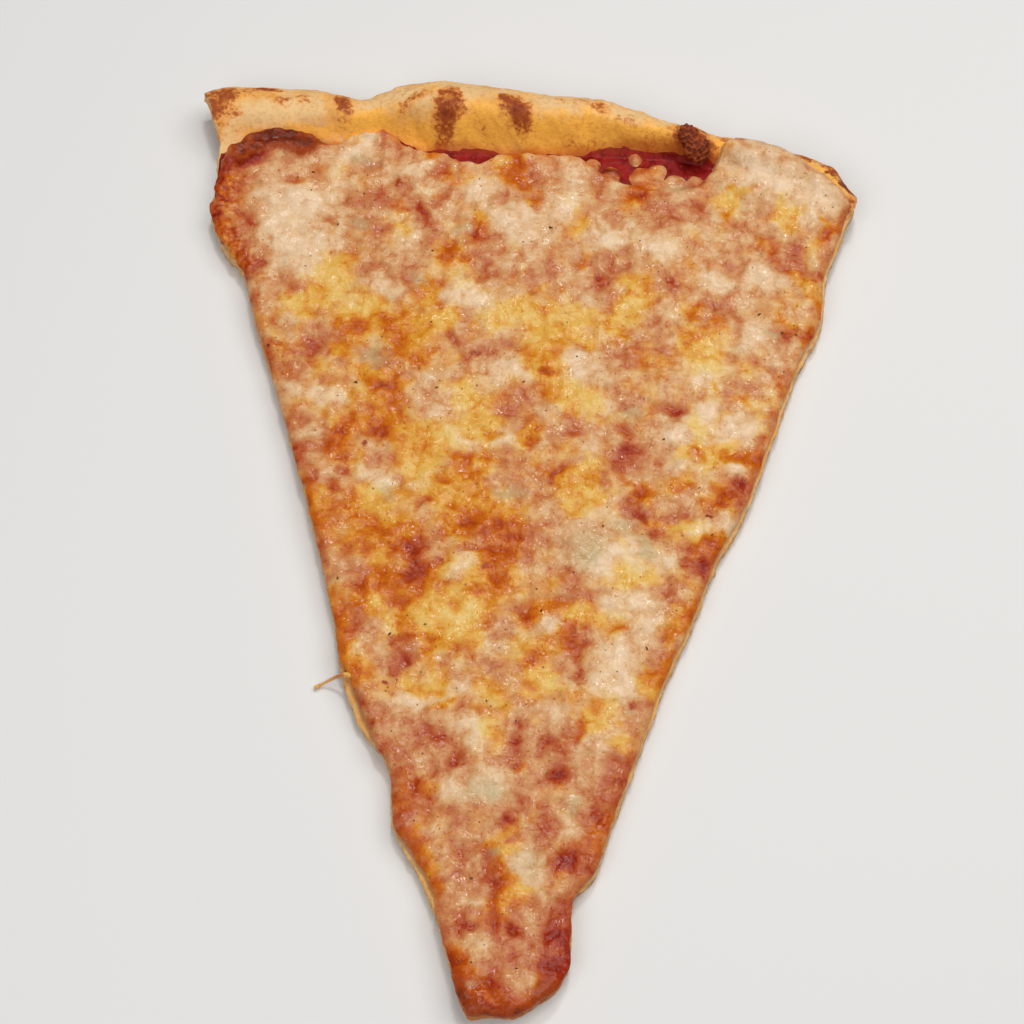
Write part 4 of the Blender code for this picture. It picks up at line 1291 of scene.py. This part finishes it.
def dough_material():
    """Baked dough: floury and pale where it rose, golden, toasted and charred in places."""
    paint = Paint("baked dough")
    fine, medium = paint.grain(0.5, 4), paint.grain(2, 5, 0.6)
    colour = paint.blend(paint.step(paint.grain(6, 4), 0.36, 0.64), CRUST_PALE, CRUST_GOLD)
    colour = paint.blend(paint.step(medium, 0.5, 0.7), colour, CRUST_ORANGE, most=0.5)
    colour = paint.blend(paint.broken("greased", medium, 0.1, 0.9), colour, CRUST_ORANGE)
    colour = paint.blend(paint.broken("pale", medium, 0.25, 0.9), colour, CRUST_PALE)
    colour = toasted(paint, colour)
    soaked = paint.step(paint.swayed(paint.noted("stained"), medium, 0.6), 0.1, 1.0)
    colour = paint.blend(soaked, colour, SOAKED, most=0.85)
    crumb = paint.blend(paint.step(medium, 0.4, 0.65), CRUMB, CRUST_GOLD)
    # Darker dots on the cut crumb: painted shade standing in for its holes
    crumb = paint.blend(paint.step(paint.cells(1.5), 0.34, 0.16), crumb, CRUST_TOAST_AND_HOLE_SHADE, most=0.6)
    colour = paint.blend(paint.noted("crumb"), colour, crumb)
    baked = paint.blend(paint.step(medium, 0.35, 0.65), CRUST_GOLD, CRUST_BROWN)
    colour = paint.blend(paint.noted("under"), colour, baked, most=0.85)
    paint.relief(paint.plus(paint.math("MULTIPLY", fine, 0.5), medium, 1.5), 0.2)
    paint.sheen(paint.plus(0.7, paint.noted("greased"), -0.35), subsurface=0.08, shine=0.25)
    return paint.finish(colour)


def toasted(paint, colour):
    """The colour of the dough, browned in freckles and blotches by the oven's heat."""
    freckles = paint.step(paint.grain(0.7, 3, 0.6), 0.36, 0.64)
    blotches = paint.step(paint.grain(2.2, 5, 0.6), 0.34, 0.66)
    mark = paint.noted("toasted")
    halo = paint.step(paint.swayed(mark, freckles, 0.2), 0.1, 0.6)
    tanned = paint.step(paint.swayed(paint.swayed(mark, blotches, 0.5), freckles, 0.3), 0.15, 0.8)
    browned = paint.swayed(paint.swayed(mark, blotches, 0.35), freckles, 0.45)
    colour = paint.blend(halo, colour, CRUST_TAN, most=0.75)
    colour = paint.blend(tanned, colour, CRUST_TOAST_AND_HOLE_SHADE, most=0.9)
    colour = paint.blend(paint.step(freckles, 0.5, 1.0), colour, CRUST_TOAST_AND_HOLE_SHADE, most=0.22)
    colour = paint.blend(paint.step(browned, 0.36, 1.0), colour, CRUST_BROWN, most=0.95)
    burnt = paint.swayed(paint.swayed(paint.noted("charred"), blotches, 0.25), freckles, 0.4)
    colour = paint.blend(paint.step(burnt, 0.3, 0.8), colour, CRUST_BROWN)
    colour = paint.blend(paint.step(burnt, 0.55, 1.15), colour, CRUST_DARK)
    near = paint.step(browned, -0.6, 0.4)
    pores = paint.math("MULTIPLY", paint.step(paint.cells(1.0), 0.3, 0.1), near)
    return paint.blend(pores, colour, CRUST_BROWN, most=0.2)


HERB_DARK = (0.08, 0.03, 0.01)
HERB_BROWN = (0.18, 0.08, 0.025)


def flake_material():
    """Dry, dull leaves and pepper."""
    paint = Paint("herb flakes")
    mottle = paint.grain(1.5, 3)
    paint.relief(mottle, 0.1)
    paint.sheen(paint.plus(0.7, mottle, 0.2), shine=0.15)
    return paint.finish(paint.blend(paint.step(mottle, 0.4, 0.6), HERB_DARK, HERB_BROWN))


# ---------------------------------------------------------------- the picture


FLOOR_REACH = 3  # in metres, like the other sizes of the picture
FLOOR_DROP = 0.2 * MM
FLOOR_COLOUR = (0.77, 0.765, 0.755, 1)
CAMERA_PLACE = Vector((12.1, -204.05, 462.8)) * MM
CAMERA_TARGET = Vector((1.5, -0.95, 6)) * MM
LENS, SENSOR = 70.3, 36
LAMPS = (  # name, place, size, power, colour
    ("ceiling", (0.52, 0.2, 1.0), 0.8, 6.0, (1, 0.98, 0.95)),
    ("fill", (-0.42, -0.6, 0.9), 0.7, 4.6, (1, 1, 1)),
    ("window", (0.05, 0.52, 1.12), 0.16, 3.6, (1, 1, 1)),
    ("skylight", (0.03, 0.15, 1.15), 0.14, 1.2, (1, 1, 1)),
)
ROOM_COLOUR = (1, 0.99, 0.97, 1)
ROOM_STRENGTH = 0.12


def add_floor():
    """A plain pale floor, just under the slice."""
    mesh = bpy.data.meshes.new("floor")
    level = CAD_BOX[0][2] - FLOOR_DROP
    corners = ((-1, -1), (1, -1), (1, 1), (-1, 1))
    places = [(x * FLOOR_REACH, y * FLOOR_REACH, level) for x, y in corners]
    mesh.from_pydata(places, [], [(0, 1, 2, 3)])
    floor = bpy.data.objects.new("floor", mesh)
    bpy.context.scene.collection.objects.link(floor)
    material = bpy.data.materials.new("floor")
    material.use_nodes = True
    skin = material.node_tree.nodes["Principled BSDF"]
    skin.inputs["Base Color"].default_value = FLOOR_COLOUR
    skin.inputs["Roughness"].default_value = 0.7
    mesh.materials.append(material)


def add_camera():
    """Looks down at the slice from beyond its tip, as the photograph does."""
    data = bpy.data.cameras.new("camera")
    data.sensor_width = SENSOR
    data.lens = LENS
    camera = bpy.data.objects.new("camera", data)
    camera.location = CAMERA_PLACE
    camera.rotation_euler = (CAMERA_TARGET - CAMERA_PLACE).to_track_quat("-Z", "Y").to_euler()
    bpy.context.scene.collection.objects.link(camera)
    bpy.context.scene.camera = camera


def add_lights():
    """Soft square lamps that face the slice, and a dim room."""
    for name, place, size, power, colour in LAMPS:
        data = bpy.data.lights.new(name, "AREA")
        data.size = size
        data.energy = power
        data.color = colour
        lamp = bpy.data.objects.new(name, data)
        lamp.location = place
        lamp.rotation_euler = (-Vector(place)).to_track_quat("-Z", "Y").to_euler()
        bpy.context.scene.collection.objects.link(lamp)
    world = bpy.data.worlds.new("room")
    bpy.context.scene.world = world
    world.use_nodes = True
    background = world.node_tree.nodes["Background"]
    background.inputs["Color"].default_value = ROOM_COLOUR
    background.inputs["Strength"].default_value = ROOM_STRENGTH


def main():
    baked = dough_material()
    add_dough(baked)
    add_bubble(baked)
    add_sauce(sauce_material())
    add_cheese(cheese_material())
    add_flakes()
    add_string()
    add_floor()
    add_camera()
    add_lights()
    bpy.context.scene.view_settings.view_transform = "Standard"


main()
